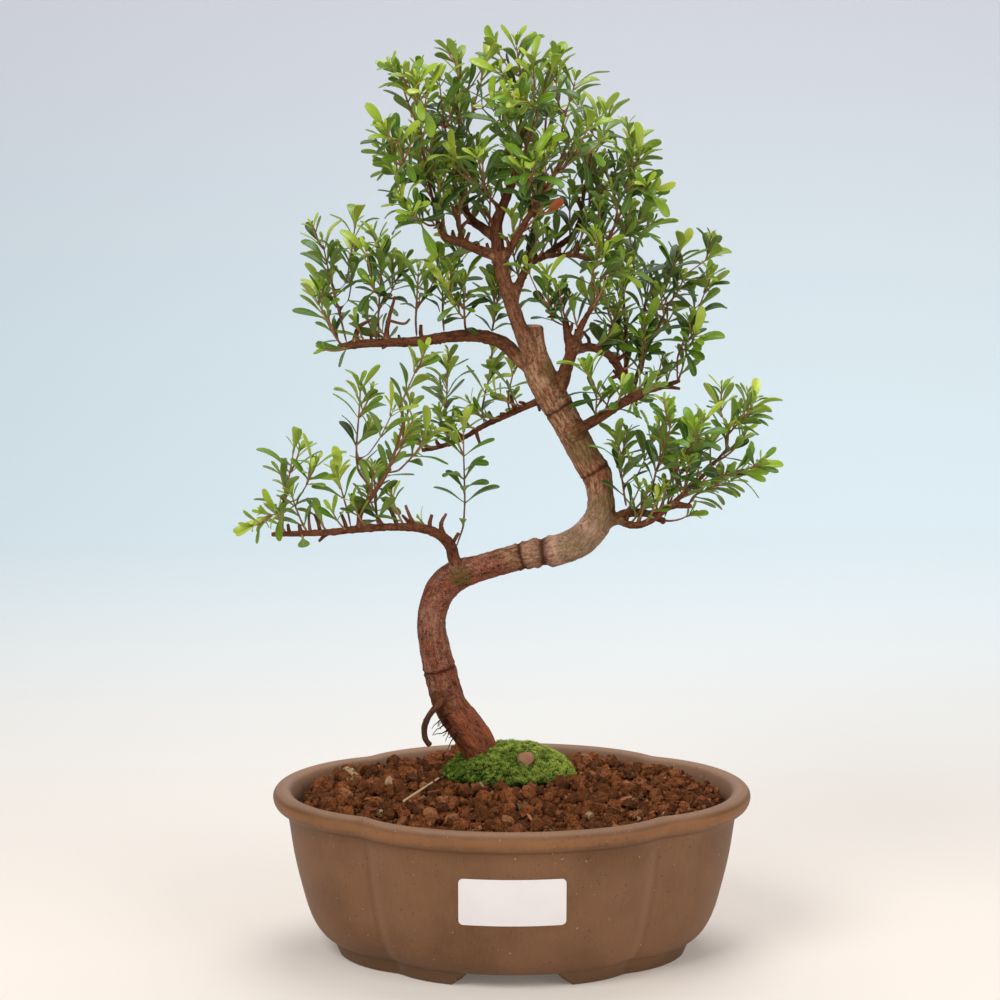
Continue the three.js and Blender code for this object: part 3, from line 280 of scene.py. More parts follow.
def absorb(bm, mesh):
    """Adds a mesh to a bmesh and deletes the mesh, which isn't needed any more."""
    bm.from_mesh(mesh)
    bpy.data.meshes.remove(mesh)


def make_piece(name, mesh, materials, replaces=(), sharp_degrees=None):
    """A finished piece that rides on the tree's only body."""
    mesh.name = name
    for material in materials:
        mesh.materials.append(material)
    mesh.shade_smooth()
    if sharp_degrees:
        mesh.set_sharp_from_angle(angle=math.radians(sharp_degrees))
    piece = new_object(name, mesh)
    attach(piece, "root")
    if replaces:
        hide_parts(*replaces)
    triangles = sum(len(face.vertices) - 2 for face in mesh.polygons)
    print(f"{name}: {triangles} triangles")
    return piece


def finished_mesh(mesh, modifiers):
    """The mesh that modifiers make of another. Each is a kind with its settings."""
    stand_in = new_object("stand_in", mesh)
    for kind, settings in modifiers:
        modifier = stand_in.modifiers.new(kind, kind)
        for key, value in settings.items():
            setattr(modifier, key, value)
    seen = stand_in.evaluated_get(bpy.context.evaluated_depsgraph_get())
    result = bpy.data.meshes.new_from_object(seen)
    bpy.data.objects.remove(stand_in)
    return result


def merged_copy(node):
    """A solid's triangles are loose, so a copy has its doubles merged before it is worked on."""
    bm = bmesh.new()
    bm.from_mesh(frame["nodes"][node].data)
    bmesh.ops.remove_doubles(bm, verts=bm.verts, dist=0.001 * MM)
    return bm


def clamp(value):
    """A number held between 0 and 1."""
    return max(0, min(1, value))


def bevel(bm, geom, offset, segments, affect="EDGES"):
    """Rounds edges, or corners of a sheet, with a few segments."""
    bmesh.ops.bevel(
        bm, geom=geom, offset=offset, segments=segments, profile=0.5, affect=affect, material=-1
    )


def relax(bm):
    """Moves every corner half-way toward the middle of its neighbours."""
    bmesh.ops.smooth_vert(bm, verts=bm.verts, factor=0.5, use_axis_x=True, use_axis_y=True, use_axis_z=True)


def face_toward(bm, direction):
    """Turns the faces of an open sheet to the side that a direction points to."""
    bmesh.ops.recalc_face_normals(bm, faces=bm.faces)
    if sum(face.normal.dot(Vector(direction)) for face in bm.faces) < 0:
        bmesh.ops.reverse_faces(bm, faces=bm.faces)


def curve_through(points, steps):
    """Points on a smooth curve through the given ones, with some steps to each stretch."""
    before_first = points[0] * 2 - points[1]
    after_last = points[-1] * 2 - points[-2]
    padded = [before_first, *points, after_last]
    curve = []
    for before, start, stop, after in zip(padded, padded[1:], padded[2:], padded[3:]):
        lead = math.sqrt((start - before).length)
        span = math.sqrt((stop - start).length)
        trail = math.sqrt((after - stop).length)
        leave = (start - before) / lead - (stop - before) / (lead + span) + (stop - start) / span
        arrive = (stop - start) / span - (after - start) / (span + trail) + (after - stop) / trail
        for step in range(steps):
            t = step / steps
            curve.append(
                start * (2 * t**3 - 3 * t**2 + 1)
                + leave * span * (t**3 - 2 * t**2 + t)
                + stop * (3 * t**2 - 2 * t**3)
                + arrive * span * (t**3 - t**2)
            )
    curve.append(points[-1])
    return curve


def extrude_ring(bm, ring):
    """Extrudes a ring of edges and gives the new ring."""
    made = bmesh.ops.extrude_edge_only(bm, edges=ring)["geom"]
    fresh = {item for item in made if isinstance(item, bmesh.types.BMVert)}
    return [item for item in made if isinstance(item, bmesh.types.BMEdge) and set(item.verts) <= fresh]


def ring_corners(ring):
    return list({corner for edge in ring for corner in edge.verts})


def ring_frames(points, radii):
    """A matrix for each ring of a tube, turned as little as possible from the one before."""
    side = Vector((0.3, -1, 0.2))
    frames = []
    for index, point in enumerate(points):
        ahead = points[min(index + 1, len(points) - 1)] - points[max(index - 1, 0)]
        ahead.normalize()
        side = (side - ahead * side.dot(ahead)).normalized()
        turn = Matrix((side, ahead.cross(side), ahead)).transposed().to_4x4()
        frames.append(Matrix.Translation(point) @ turn @ Matrix.Scale(radii[index], 4))
    return frames


def tube(points, radii, sides):
    """A closed tube through points, as a bmesh: a circle extruded from ring to ring."""
    frames = ring_frames(points, radii)
    bm = bmesh.new()
    bmesh.ops.create_circle(bm, segments=sides, radius=1, matrix=frames[0])
    ring = list(bm.edges)
    bmesh.ops.edgeloop_fill(bm, edges=ring)
    for last, this in zip(frames, frames[1:]):
        ring = extrude_ring(bm, ring)
        bmesh.ops.transform(bm, matrix=this @ last.inverted(), verts=ring_corners(ring))
    bmesh.ops.edgeloop_fill(bm, edges=ring)
    bmesh.ops.recalc_face_normals(bm, faces=bm.faces)
    return bm


def add_tube(bm, points, radii, sides):
    absorb(bm, shape_to_mesh(tube(points, radii, sides), "tube"))


def plant(bm, shape, matrix, **tones):
    """Adds a copy of a small mesh, moved by a matrix, with the same value of each tone all over it."""
    copy = shape.copy()
    copy.transform(matrix)
    for name, value in tones.items():
        attribute = copy.attributes.get(name) or copy.attributes.new(name, "FLOAT", "POINT")
        attribute.data.foreach_set("value", [value] * len(copy.vertices))
    absorb(bm, copy)


def twirled(chance, low, high):
    """A random turn about the vertical with a random size."""
    return Matrix.Rotation(chance.uniform(0, math.tau), 4, "Z") @ Matrix.Scale(chance.uniform(low, high), 4)


def tree_of_mesh(mesh):
    """A search tree that finds the nearest place on a mesh, or where a ray meets it."""
    return BVHTree.FromPolygons([v.co for v in mesh.vertices], [p.vertices[:] for p in mesh.polygons])


# %% [markdown]
# ## Pot
# The pot is one thick shell of fired clay with four lobes, a rolled rim, four feet and two drain holes.
# It could be turned with the spin operator if it were round. It isn't, so a circle is extruded from level
# to level instead, and each level is pushed out to the lobed outline. Between two lobes the outline
# dips in a soft groove.

# %% The outline of the pot
RIM_HALF_WIDTH = 100
RIM_HALF_DEPTH = 75
NOTCH_DEGREES = 47
NOTCH_DEPTH = 0.075
NOTCH_SPREAD = 13
NOTCH_ROUNDING = 1.6


def outline(degrees, share, height):
    """A place on the lobed outline, shrunk to a share of the rim's."""
    folded = abs(degrees % 180 - 90)
    from_notch = abs(90 - folded - NOTCH_DEGREES)
    rounded = math.hypot(from_notch, NOTCH_ROUNDING) - NOTCH_ROUNDING
    size = share * (1 - NOTCH_DEPTH * math.exp(-rounded / NOTCH_SPREAD))
    angle = math.radians(degrees)
    return at(RIM_HALF_WIDTH * size * math.cos(angle), RIM_HALF_DEPTH * size * math.sin(angle), height)


def outline_degrees(place):
    """The angle on the outline of a place, whatever share of the outline it is on."""
    across = (place.x - POT_MIDDLE) / RIM_HALF_WIDTH
    away = place.y / RIM_HALF_DEPTH
    return math.degrees(math.atan2(away, across)) % 360


print("deepest groove is", round(100 * NOTCH_DEPTH), "percent of the outline")

# %% [markdown]
# The section of the wall is a row of points from the foot up to the rim, over the roll and down inside.
# Points that lie close together make a tight bend, as under the roll. A smooth curve runs through them.

# %% The wall of the pot
POT_ROUND_STEPS = 240
UNDERSIDE_HEIGHT = 3.2
FLOOR_TOP = 10.5
OUTER_WALL = [(0.715, UNDERSIDE_HEIGHT), (0.765, 4.4), (0.805, 7.4), (0.845, 14), (0.884, 27), (0.915, 41),
              (0.934, 54), (0.941, 57.6)]
ROLLED_RIM = [(0.953, 58.9), (0.974, 59.7), (0.991, 61.2), (1.0, 63.8), (0.996, 66), (0.984, 67.5),
              (0.966, 68), (0.946, 67.8), (0.929, 66.9), (0.918, 65.4)]
INNER_WALL = [(0.905, 62), (0.884, 52), (0.832, 27), (0.78, 15), (0.7, FLOOR_TOP)]


def build_pot_shell():
    section = OUTER_WALL + ROLLED_RIM + INNER_WALL
    profile = curve_through([Vector((share, height / RIM_HALF_WIDTH, 0)) for share, height in section], 3)
    bm = bmesh.new()
    bmesh.ops.create_circle(bm, segments=POT_ROUND_STEPS, radius=1)
    for corner in bm.verts:
        degrees = math.degrees(math.atan2(corner.co.y, corner.co.x))
        corner.co = outline(degrees, profile[0].x, UNDERSIDE_HEIGHT)
    ring = list(bm.edges)
    bmesh.ops.edgeloop_fill(bm, edges=ring)
    for level in profile[1:]:
        ring = extrude_ring(bm, ring)
        for corner in ring_corners(ring):
            corner.co = outline(outline_degrees(corner.co), level.x, level.y * RIM_HALF_WIDTH)
    bmesh.ops.edgeloop_fill(bm, edges=ring)
    bmesh.ops.recalc_face_normals(bm, faces=bm.faces)
    return shape_to_mesh(bm, "pot_shell")


pot_shell = build_pot_shell()
print("pot shell:", len(pot_shell.polygons), "faces")

# %% [markdown]
# A foot is a short bar that follows the outline from one gap to the next. It starts as one four-sided
# section that is extruded along the outline, and its long edges are rounded with a bevel, as a potter
# wipes them with a wet finger. Boolean modifiers then join the feet to the shell and drill the drain
# holes.

# %% Feet and drain holes
FOOT_SPAN = (13, 70)
FOOT_TOP_SPAN = (9, 77)
FOOT_STEPS = 24
FOOT_TOP = 5.9
FOOT_ROUNDING = 0.7
DRAIN_RADIUS = 8
DRAIN_X = 40


def foot_section(along, mirror_x, mirror_y):
    """The four corners of a foot's section at some share of its length."""
    sole = FOOT_SPAN[0] + (FOOT_SPAN[1] - FOOT_SPAN[0]) * along
    top = FOOT_TOP_SPAN[0] + (FOOT_TOP_SPAN[1] - FOOT_TOP_SPAN[0]) * along
    corners = [
        (sole, 0.735, SOLE_HEIGHT), (top, 0.765, FOOT_TOP), (top, 0.58, FOOT_TOP), (sole, 0.6, SOLE_HEIGHT),
    ]
    places = []
    for degrees, share, height in corners:
        place = outline(degrees, share, height)
        places.append(Vector((POT_MIDDLE + (place.x - POT_MIDDLE) * mirror_x, place.y * mirror_y, place.z)))
    return places


def build_foot(mirror_x, mirror_y):
    places = foot_section(0, mirror_x, mirror_y)
    bm = bmesh.new()
    end = bm.faces.new([bm.verts.new(place) for place in places])
    for step in range(1, FOOT_STEPS + 1):
        last_end = end
        made = bmesh.ops.extrude_face_region(bm, geom=[last_end])["geom"]
        end = next(item for item in made if isinstance(item, bmesh.types.BMFace))
        if step > 1:
            bmesh.ops.delete(bm, geom=[last_end], context="FACES_ONLY")
        onward = foot_section(step / FOOT_STEPS, mirror_x, mirror_y)
        for corner in end.verts:
            nearest = min(range(4), key=lambda i: (corner.co - places[i]).length)
            corner.co = onward[nearest]
        places = onward
    bmesh.ops.recalc_face_normals(bm, faces=bm.faces)
    sharp = [edge for edge in bm.edges if edge.calc_face_angle(0) > math.radians(50)]
    bevel(bm, sharp, FOOT_ROUNDING * MM, 3)
    return shape_to_mesh(bm, "foot")


def drilled_pot():
    feet = [new_object("helper", build_foot(x, y)) for x, y in ((1, 1), (-1, 1), (-1, -1), (1, -1))]
    drills = []
    for side in (-1, 1):
        bm = bmesh.new()
        place = Matrix.Translation(at(side * DRAIN_X, 0, (UNDERSIDE_HEIGHT + FLOOR_TOP) / 2))
        radius = DRAIN_RADIUS * MM
        bmesh.ops.create_cone(
            bm, cap_ends=True, segments=48, radius1=radius, radius2=radius, depth=20 * MM, matrix=place
        )
        drills.append(new_object("helper", shape_to_mesh(bm, "drill")))
    joins = [("BOOLEAN", {"operation": "UNION", "solver": "EXACT", "object": foot}) for foot in feet]
    cuts = [("BOOLEAN", {"operation": "DIFFERENCE", "solver": "EXACT", "object": drill}) for drill in drills]
    mesh = finished_mesh(pot_shell, joins + cuts)
    for helper in feet + drills:
        bpy.data.objects.remove(helper)
    return mesh


def mark_inside(mesh):
    """Marks the corners of the pot's wall that face its middle, for the finish."""
    middle = at(0, 0, 0).xy
    facing = [(corner.co.xy - middle).dot(corner.normal.xy) for corner in mesh.vertices]
    marks = [1 if side < 0 else 0 for side in facing]
    mesh.attributes.new("inside", "FLOAT", "POINT").data.foreach_set("value", marks)


pot_mesh = drilled_pot()
mark_inside(pot_mesh)
print("pot with feet and holes:", len(pot_mesh.polygons), "faces")

# %% [markdown]
# Unglazed stoneware has no single colour. The body is a matt warm brown with faint clouds and streaks,
# and the iron in the clay has turned the roll of the rim ochre in a fringe of fine streaks where the fire
# reached it. The top of the roll is painted paler as a painted highlight, and a band under the roll is
# painted darker as painted shade. Each of the four grooves has a line of painted shade, with a painted
# highlight line beside it. Specks of iron, pale crumbs and a few blots lie over all. Each of these is
# a coat: a mask and the colour that it mixes in.

# %% Stoneware
def groove_gap(recipe, place):
    """Metres from the nearest groove of the outline, less than 0 toward the ends of the pot."""
    slope = math.tan(math.radians(NOTCH_DEGREES)) * RIM_HALF_DEPTH / RIM_HALF_WIDTH
    across = recipe.math("ABSOLUTE", recipe.axis(place, "X") - POT_MIDDLE, 0)
    away = recipe.math("ABSOLUTE", recipe.axis(place, "Y"), 0)
    return (away - across * slope) * math.cos(math.atan(slope))


def stoneware():
    recipe = Recipe("stoneware", Specular_IOR_Level=0.3)
    place = recipe.place()
    height = recipe.height(place)
    inside = recipe.attribute("inside")
    clouds = recipe.noise(place, 38 * MM, 4)
    streaks = recipe.noise(recipe.stretched(place, (1, 1, 0.1)), 1.1 * MM, 3)
    bands = recipe.noise(recipe.stretched(place, (1, 1, 0.2)), 14 * MM, 3)
    specks = recipe.step(recipe.noise(place, 1.2 * MM, 2), 0.66, 0.72)
    crumbs = recipe.step(recipe.noise(place, 1.5 * MM, 2), 0.72, 0.76)
    blots = recipe.step(recipe.noise(place, 8 * MM, 2), 0.75, 0.79)
    gap = groove_gap(recipe, place)
    # painted shade along each groove, and a painted highlight line beside it
    groove_painted_shade = recipe.step(gap, -2.2 * MM, -0.4 * MM) * (1 - recipe.step(gap, -0.4 * MM, 1.4 * MM))
    groove_painted_highlight = recipe.step(gap, 0.6 * MM, 2.6 * MM) * (1 - recipe.step(gap, 2.6 * MM, 7 * MM))
    body = 1 - recipe.step(height, 52, 58)
    fringe = height + streaks * 4 + bands * 2
    fired = recipe.step(fringe, 64.2, 65.6) * (1 - recipe.step(height + bands, 65.2, 66.4)) * (1 - inside)
    # painted shade: a darker band in the hollow under the rolled rim
    painted_shade_under_roll = recipe.step(height, 58, 58.8) * (1 - recipe.step(height, 59.4, 60.4))
    # painted highlight: the top of the roll is painted paler
    painted_highlight_on_roll = recipe.step(height + bands, 66.6, 68.2)
    foot = 1 - recipe.step(height + clouds * 6, 4, 13)
    colour = recipe.coats(
        recipe.mix(recipe.step(clouds, 0.3, 0.7), srgb(104, 70, 44), srgb(124, 87, 59)),
        (recipe.step(streaks, 0.45, 0.8) * 0.15, 146, 108, 78),
        # painted shade in the grooves and a painted highlight beside them
        (groove_painted_shade * body * 0.2, 84, 56, 36),
        (groove_painted_highlight * body * 0.18, 150, 114, 88),
        (fired * bands * 0.8, 152, 100, 54),
        (inside * 0.4, 140, 110, 90),
        # painted shade under the roll
        (painted_shade_under_roll * 0.45, 92, 62, 40),
        # painted highlight on the top of the roll
        (painted_highlight_on_roll * 0.5, 158, 126, 102),
        (foot * 0.45, 84, 62, 38),
        (specks * 0.6, 58, 38, 26),
        (crumbs * 0.6, 190, 166, 138),
        (blots * 0.6, 70, 48, 34),
    )
    grit = recipe.noise(place, 0.8 * MM, 3) + clouds * 0.5
    return recipe.surface(colour, 0.46 + clouds * 0.22, grit, 0.12 * MM, 0.6)


pot = make_piece("stoneware_pot", pot_mesh, [stoneware()], ["pot"], sharp_degrees=38)

# %% [markdown]
# ## Label
# A white paper label with rounded corners is stuck on the front of the pot. It is left blank. A flat
# sheet wouldn't touch the curved wall, so its outline is cut into narrow strips with bisect_plane, and
# every corner is then dropped on to the wall with a ray. Solidify gives the paper its thickness.

# %% Build the label on the wall
LABEL_HALF_WIDTH = 21.6
LABEL_BOTTOM = 27.7
LABEL_TOP = 47.7
LABEL_CORNER = 1.9
LABEL_STRIP = 1.8
LABEL_LIFT = 0.12
PAPER_THICKNESS = 0.22


def slice_sheet(bm, low, high, axis):
    """Cuts a sheet into even strips between two places on an axis."""
    count = math.ceil((high - low) / LABEL_STRIP)
    for i in range(1, count):
        plane = low + (high - low) * i / count
        everything = bm.verts[:] + bm.edges[:] + bm.faces[:]
        bmesh.ops.bisect_plane(bm, geom=everything, plane_co=axis * plane, plane_no=axis)


def build_label():
    bm = bmesh.new()
    size = Matrix.Diagonal((LABEL_HALF_WIDTH, 1, (LABEL_TOP - LABEL_BOTTOM) / 2, 1))
    upright = Matrix.Rotation(math.pi / 2, 4, "X")
    bmesh.ops.create_grid(bm, x_segments=1, y_segments=1, size=1, matrix=size @ upright)
    bmesh.ops.translate(bm, verts=bm.verts, vec=(0, 0, (LABEL_TOP + LABEL_BOTTOM) / 2))
    bevel(bm, bm.verts, LABEL_CORNER, 6, "VERTICES")
    slice_sheet(bm, -LABEL_HALF_WIDTH, LABEL_HALF_WIDTH, Vector((1, 0, 0)))
    slice_sheet(bm, LABEL_BOTTOM, LABEL_TOP, Vector((0, 0, 1)))
    wall = BVHTree.FromObject(pot, bpy.context.evaluated_depsgraph_get())
    for corner in bm.verts:
        start = at(corner.co.x, -2 * RIM_HALF_DEPTH, corner.co.z)
        touch = wall.ray_cast(start, Vector((0, 1, 0)))[0]
        corner.co = touch - Vector((0, (LABEL_LIFT + PAPER_THICKNESS) * MM, 0))
    face_toward(bm, (0, -1, 0))
    bmesh.ops.solidify(bm, geom=bm.faces[:], thickness=PAPER_THICKNESS * MM)
    return shape_to_mesh(bm, "label")


def paper():
    recipe = Recipe("blank_paper", Specular_IOR_Level=0.4)
    place = recipe.place()
    fibres = recipe.noise(place, 0.9 * MM, 4, 0.7)
    ageing = recipe.noise(place, 14 * MM, 2)
    colour = recipe.mix(ageing, srgb(238, 233, 234), srgb(226, 221, 222))
    colour = recipe.mix(recipe.step(fibres, 0.55, 0.8) * 0.3, colour, srgb(205, 200, 200))
    return recipe.surface(colour, 0.42 + fibres * 0.2, fibres, 0.03 * MM, 0.5)


make_piece("blank_label", build_label(), [paper()], ["label"], sharp_degrees=40)

# %% [markdown]
# ## Wood
# The trunk and its branches grew as one piece, so they have to flow into each other. Each limb is a tube
# along a smooth line, made by extruding a circle from ring to ring. The lines repeat those of the solid.
# A voxel remesh then melts the tubes into one even skin, which also gives small corners for the bark. It
# would lose the slimmest ends, so those stay tubes that start inside the skin.

# %% The lines of the wood
# Each row is x, y, z and the radius in millimetres
LIMBS = {
    "trunk": [
        (-12, 12, 62, 6.6), (-13, 12, 78, 7.6), (-15, 11, 84, 7.6), (-20.7, 9, 93, 7.4),
        (-25.6, 7, 100.5, 6.9), (-30, 6, 116, 6.8), (-32.4, 5, 127, 6.3), (-33.5, 5, 136, 5.9),
        (-32, 4, 145, 6), (-29, 3, 151.5, 6.5), (-23, 1, 157, 6.4), (-12, 0, 161, 5.4),
        (2.5, -2, 165.5, 5.5), (10, -3, 167.5, 5.9), (19, -4, 169, 6.3), (28, -5, 173, 6.5),
        (33.5, -6, 179, 6.3), (36.5, -6, 186, 5.7), (36, -5, 193.5, 5.3), (35, -4, 199.5, 6.1),
        (31, -3, 206, 6.1), (25, -1, 217, 5.9), (20, 0, 226, 6.3), (15.5, 0, 233.5, 6.3),
        (11.5, 0, 241.5, 6.3), (9, 0, 250.5, 5.3), (9, 1, 256, 4.2), (9.2, 1, 261.4, 3.4),
    ],
    "leader": [
        (10, 0, 243, 4.6), (6, -3, 254, 3.6), (2.7, -4, 262, 3.1), (-1, -3, 273, 3.1), (-5, -2, 287.5, 2.9),
        (-6, -1, 296, 2.6), (-6.3, 0, 303, 2.3), (-3.7, 0, 310, 2), (-0.5, 1, 318, 1.6), (2, 2, 327, 1.15),
        (3.6, 3, 337, 0.9), (3, 2, 352, 0.65),
    ],
    "left_upper": [
        (9, 2, 243, 3.6), (3, 5, 247, 3), (-2, 7, 252, 2.8), (-5.5, 8, 254, 2.7), (-14.5, 9, 256, 2.6),
        (-26, 10, 255.5, 2.3), (-38, 11, 253.5, 2.1), (-52, 12, 252.8, 1.8), (-65, 12, 252, 1.7),
        (-72, 12, 250.5, 1.4),
    ],
    "left_middle": [
        (15, 3, 231, 2.2), (9, 10, 228, 1.5), (-1, 16, 222.5, 1.3), (-11.5, 21, 217, 1.2),
        (-20.5, 25, 211, 1.1), (-30, 28, 207, 1.1), (-38, 30, 205, 1),
    ],
    "left_lower": [
        (-21, 1, 158, 3), (-24, -2, 165, 2.6), (-25, -4, 170, 2.4), (-28, -7, 174.5, 2.2),
        (-33, -10, 178, 1.9), (-41, -13, 180, 1.7), (-50.5, -15, 180.5, 1.6), (-63, -17, 180, 1.5),
        (-73, -18, 179, 1.4), (-83, -18, 178.5, 1.3), (-98, -18, 178, 1.1),
    ],
    "left_riser": [
        (-62, -17, 179, 1.3), (-61.5, -18, 187, 1.2), (-56, -18, 195, 1.05), (-51, -17, 203, 0.9),
        (-47, -16, 213, 0.75), (-43.5, -15, 226, 0.6),
    ],
    "right_upper": [
        (13, 0, 231, 3.2), (19, -1, 235, 3), (22, -2, 244, 2.6), (24, -3, 251, 2.4), (22.5, -4, 258, 1.7),
        (21.5, -5, 265, 1.2),
    ],
    "right_upper_fork": [
        (24, -3, 250, 1.8), (28, -6, 261.5, 1.4), (31.5, -8, 268.5, 1), (35.5, -10, 276, 0.65),
    ],
    "right_back": [
        (23.5, -3, 250.5, 1.9), (31, 3, 252, 1.8), (38.5, 10, 249, 1.8), (43.5, 16, 243, 1.7),
        (47.5, 21, 234.5, 1.7), (51, 24, 231, 1.5), (60, 28, 231.5, 1.3), (70.5, 31, 234.5, 1),
    ],
    "right_riser": [(50.5, 24, 232, 1.2), (55, 24, 246, 0.9), (61, 23, 258, 0.75), (65, 22, 268, 0.6)],
    "right_inner_riser": [
        (47, 21, 236, 1.2), (47.5, 20, 250, 0.9), (46.5, 18, 264, 0.75), (46, 17, 276, 0.6),
    ],
    "right_middle": [
        (22, -2, 216, 3), (28.5, -8, 220.5, 2.3), (36, -12, 225.5, 2), (42.5, -16, 230.5, 1.9),
        (48, -19, 234, 1.9), (52.5, -21, 236, 1.8),
    ],
    "right_lower": [
        (35, -6, 181, 3), (42, -7, 182, 2.3), (46, -7, 184.5, 2), (52, -5, 184.8, 1.7), (57, -3, 183.5, 1.5),
        (63, 0, 180, 1.3),
    ],
    "right_loop": [
        (43, -7, 182.5, 1.7), (47, -11, 181, 1.5), (51.5, -13.5, 181, 1.5), (56, -14.5, 183, 1.5),
        (60.5, -15, 186.5, 1.5), (65, -16, 189.5, 1.4), (73, -17, 189.5, 1.1),
    ],
    "right_runner": [
        (64.5, -16, 189.5, 1.3), (69, -19, 194.5, 1.1), (76, -19, 201, 0.9), (87, -17, 213, 0.65),
    ],
    "crown_left": [
        (-5, -1.5, 289, 2.2), (-14.5, -4, 293, 1.9), (-21, -7, 296, 1.7), (-27.5, -10, 299, 1.25),
        (-32, -13, 314, 0.85), (-35, -17, 330, 0.7), (-38.5, -20, 346, 0.6),
    ],
    "crown_left_inner": [
        (-20, -6, 295.5, 1.2), (-22.5, -2, 308, 0.85), (-22.5, 3, 325, 0.7), (-21.5, 6, 344, 0.6),
    ],
    "crown_knob": [
        (-6, 0, 296.5, 2.3), (-12.5, 6, 301, 1.9), (-16, 10, 303, 1.8), (-20.5, 14, 310, 1),
        (-19, 18, 323, 0.8), (-16.5, 20, 338, 0.6),
    ],
    "crown_front": [
        (-4, -2, 287.5, 1.9), (0, -6, 294.5, 1.6), (6, -10, 305.5, 1.25), (11.5, -14, 314.5, 0.95),
        (16.5, -18, 324, 0.75), (22, -20, 337, 0.6),
    ],
    "crown_right": [
        (0.5, -3, 272, 2), (4, -1, 281, 1.7), (7.5, 2, 286.5, 1.6), (13, 6, 289, 1.4),
        (18, 10, 292, 1.4), (26, 15, 298.5, 1.1), (30, 19, 316, 0.8), (33, 23, 332, 0.6),
    ],
    "crown_back": [
        (7, 1.5, 286, 1.4), (7, 7, 292.5, 1.3), (9, 13, 301, 1.1), (11.5, 19, 310, 0.85),
        (13, 24, 328, 0.7), (14, 27, 344, 0.6),
    ],
    "crown_right_low": [
        (13, 6, 289, 1.3), (18.5, 4, 289.7, 1.1), (26, 0, 289.7, 1), (33, -4, 289, 0.9),
        (41, -8, 302, 0.75), (46.5, -10, 316, 0.6),
    ],
    "crown_spike": [(-1, 0.5, 316, 1.1), (4, -9, 329, 0.75), (8.5, -17, 345, 0.6)],
    "aerial_root": [
        (-24, 5, 105, 1.7), (-31, -1, 102.5, 1.35), (-34.5, -3, 98.5, 1.3), (-36.3, -4, 94, 1.3),
        (-36, -5, 89.5, 1.25), (-34, -5, 86.5, 1.2),
    ],
    "stub_lower_a": [(-40, -12, 179.5, 1.3), (-41.5, -12, 184, 0.9), (-43.5, -12, 189, 0.7)],
    "stub_lower_b": [(-28, -6, 174, 1.4), (-29, -6, 180, 1), (-27, -6, 184.5, 0.7)],
    "stub_lower_c": [(-82, -18, 178, 1), (-82.5, -18, 184, 0.7), (-82, -18, 190, 0.6)],
    "stub_upper_a": [(-52, 12, 252, 1.5), (-51, 12, 261, 1), (-48, 11, 272, 0.7)],
    "stub_upper_b": [(-50.5, 12, 262, 0.8), (-44, 9, 261, 0.7), (-42, 8, 263, 0.6)],
    "stub_upper_c": [(-65, 12, 252, 1.5), (-63, 13, 259, 1), (-56, 14, 263, 0.7)],
    "stub_right": [(26, 14, 298, 1.2), (28, 17, 304, 0.8)],
}
CUT_ENDS = ("trunk", "left_upper", "left_middle", "left_lower", "stub_lower_a", "stub_lower_b")
print("limbs:", len(LIMBS))

# %% [markdown]
# A limb line is sampled closely. Every sample keeps its radius, its distance from the root and two
# directions across the limb. Later a corner of the bark looks up its nearest sample to learn which
# way the grain runs there, much as a carpenter reads a board.

# %% Sample the limbs and make their tubes
STEPS_PER_ROW = 10
TRUNK_SIDES = 28
BRANCH_SIDES = 14
SLIM_SIDES = 9
STUB_SIDES = 7
SLIM_RADIUS = 0.85
STUB_LIMBS = (
    "leader", "crown_left", "crown_left_inner", "crown_knob", "crown_front", "crown_right", "crown_back",
    "crown_right_low", "left_upper", "left_lower", "left_middle", "right_back", "right_upper", "right_loop",
)
STUB_BEARERS = (0.7, 2.4)
STUB_STEP = 7
STUB_LENGTH = (1.5, 8)
STUB_RADII = (0.85, 0.7, 0.5)


def slimmed(radius):
    """The radius of a limb in millimetres, with the thin ones made slimmer than in the solid."""
    return radius * min(1, 0.5 + 0.4 * radius)


class LimbSample:
    """One place on the line of a limb."""

    def __init__(self, point, radius, distance, frame):
        self.point = point
        self.radius = radius
        self.distance = distance
        self.side = frame.col[0].xyz.normalized()
        self.front = frame.col[1].xyz.normalized()
        self.ahead = frame.col[2].xyz.normalized()


def sample_limb(rows):
    points = curve_through([at(x, y, z) for x, y, z, _ in rows], STEPS_PER_ROW)
    radii = []
    for start, stop in zip(rows, rows[1:]):
        radii += [start[3] + (stop[3] - start[3]) * i / STEPS_PER_ROW for i in range(STEPS_PER_ROW)]
    radii.append(rows[-1][3])
    radii = [slimmed(radius) * MM for radius in radii]
    samples = []
    distance = 0
    for index, frame in enumerate(ring_frames(points, radii)):
        if index:
            distance += (points[index] - points[index - 1]).length
        samples.append(LimbSample(points[index], radii[index], distance, frame))
    return samples


def add_limb(bm, samples, sides):
    add_tube(bm, [sample.point for sample in samples], [sample.radius for sample in samples], sides)


def dead_stubs():
    """Short broken twigs along the limbs of the crown, as points and radii."""
    chance = random.Random(17)
    for name in STUB_LIMBS:
        last = 0
        length_of_limb = limb_samples[name][-1].distance
        for sample in limb_samples[name]:
            if not STUB_BEARERS[0] < sample.radius / MM < STUB_BEARERS[1]:
                continue
            if sample.distance - last < STUB_STEP * chance.uniform(0.5, 1.5) * MM:
                continue
            if length_of_limb - sample.distance < STUB_STEP * MM:
                break
            last = sample.distance
            turn = chance.uniform(0, math.tau)
            outward = sample.side * math.cos(turn) + sample.front * math.sin(turn)
            heading = (outward + sample.ahead * 0.4 + Vector((0, 0, 0.8))).normalized()
            length = sample.radius + chance.uniform(*STUB_LENGTH) * MM
            middle = sample.point + heading * length / 2
            kink = Vector([chance.uniform(-0.5, 0.5) for _ in range(3)])
            yield [sample.point, middle, middle + (heading + kink).normalized() * length / 2]


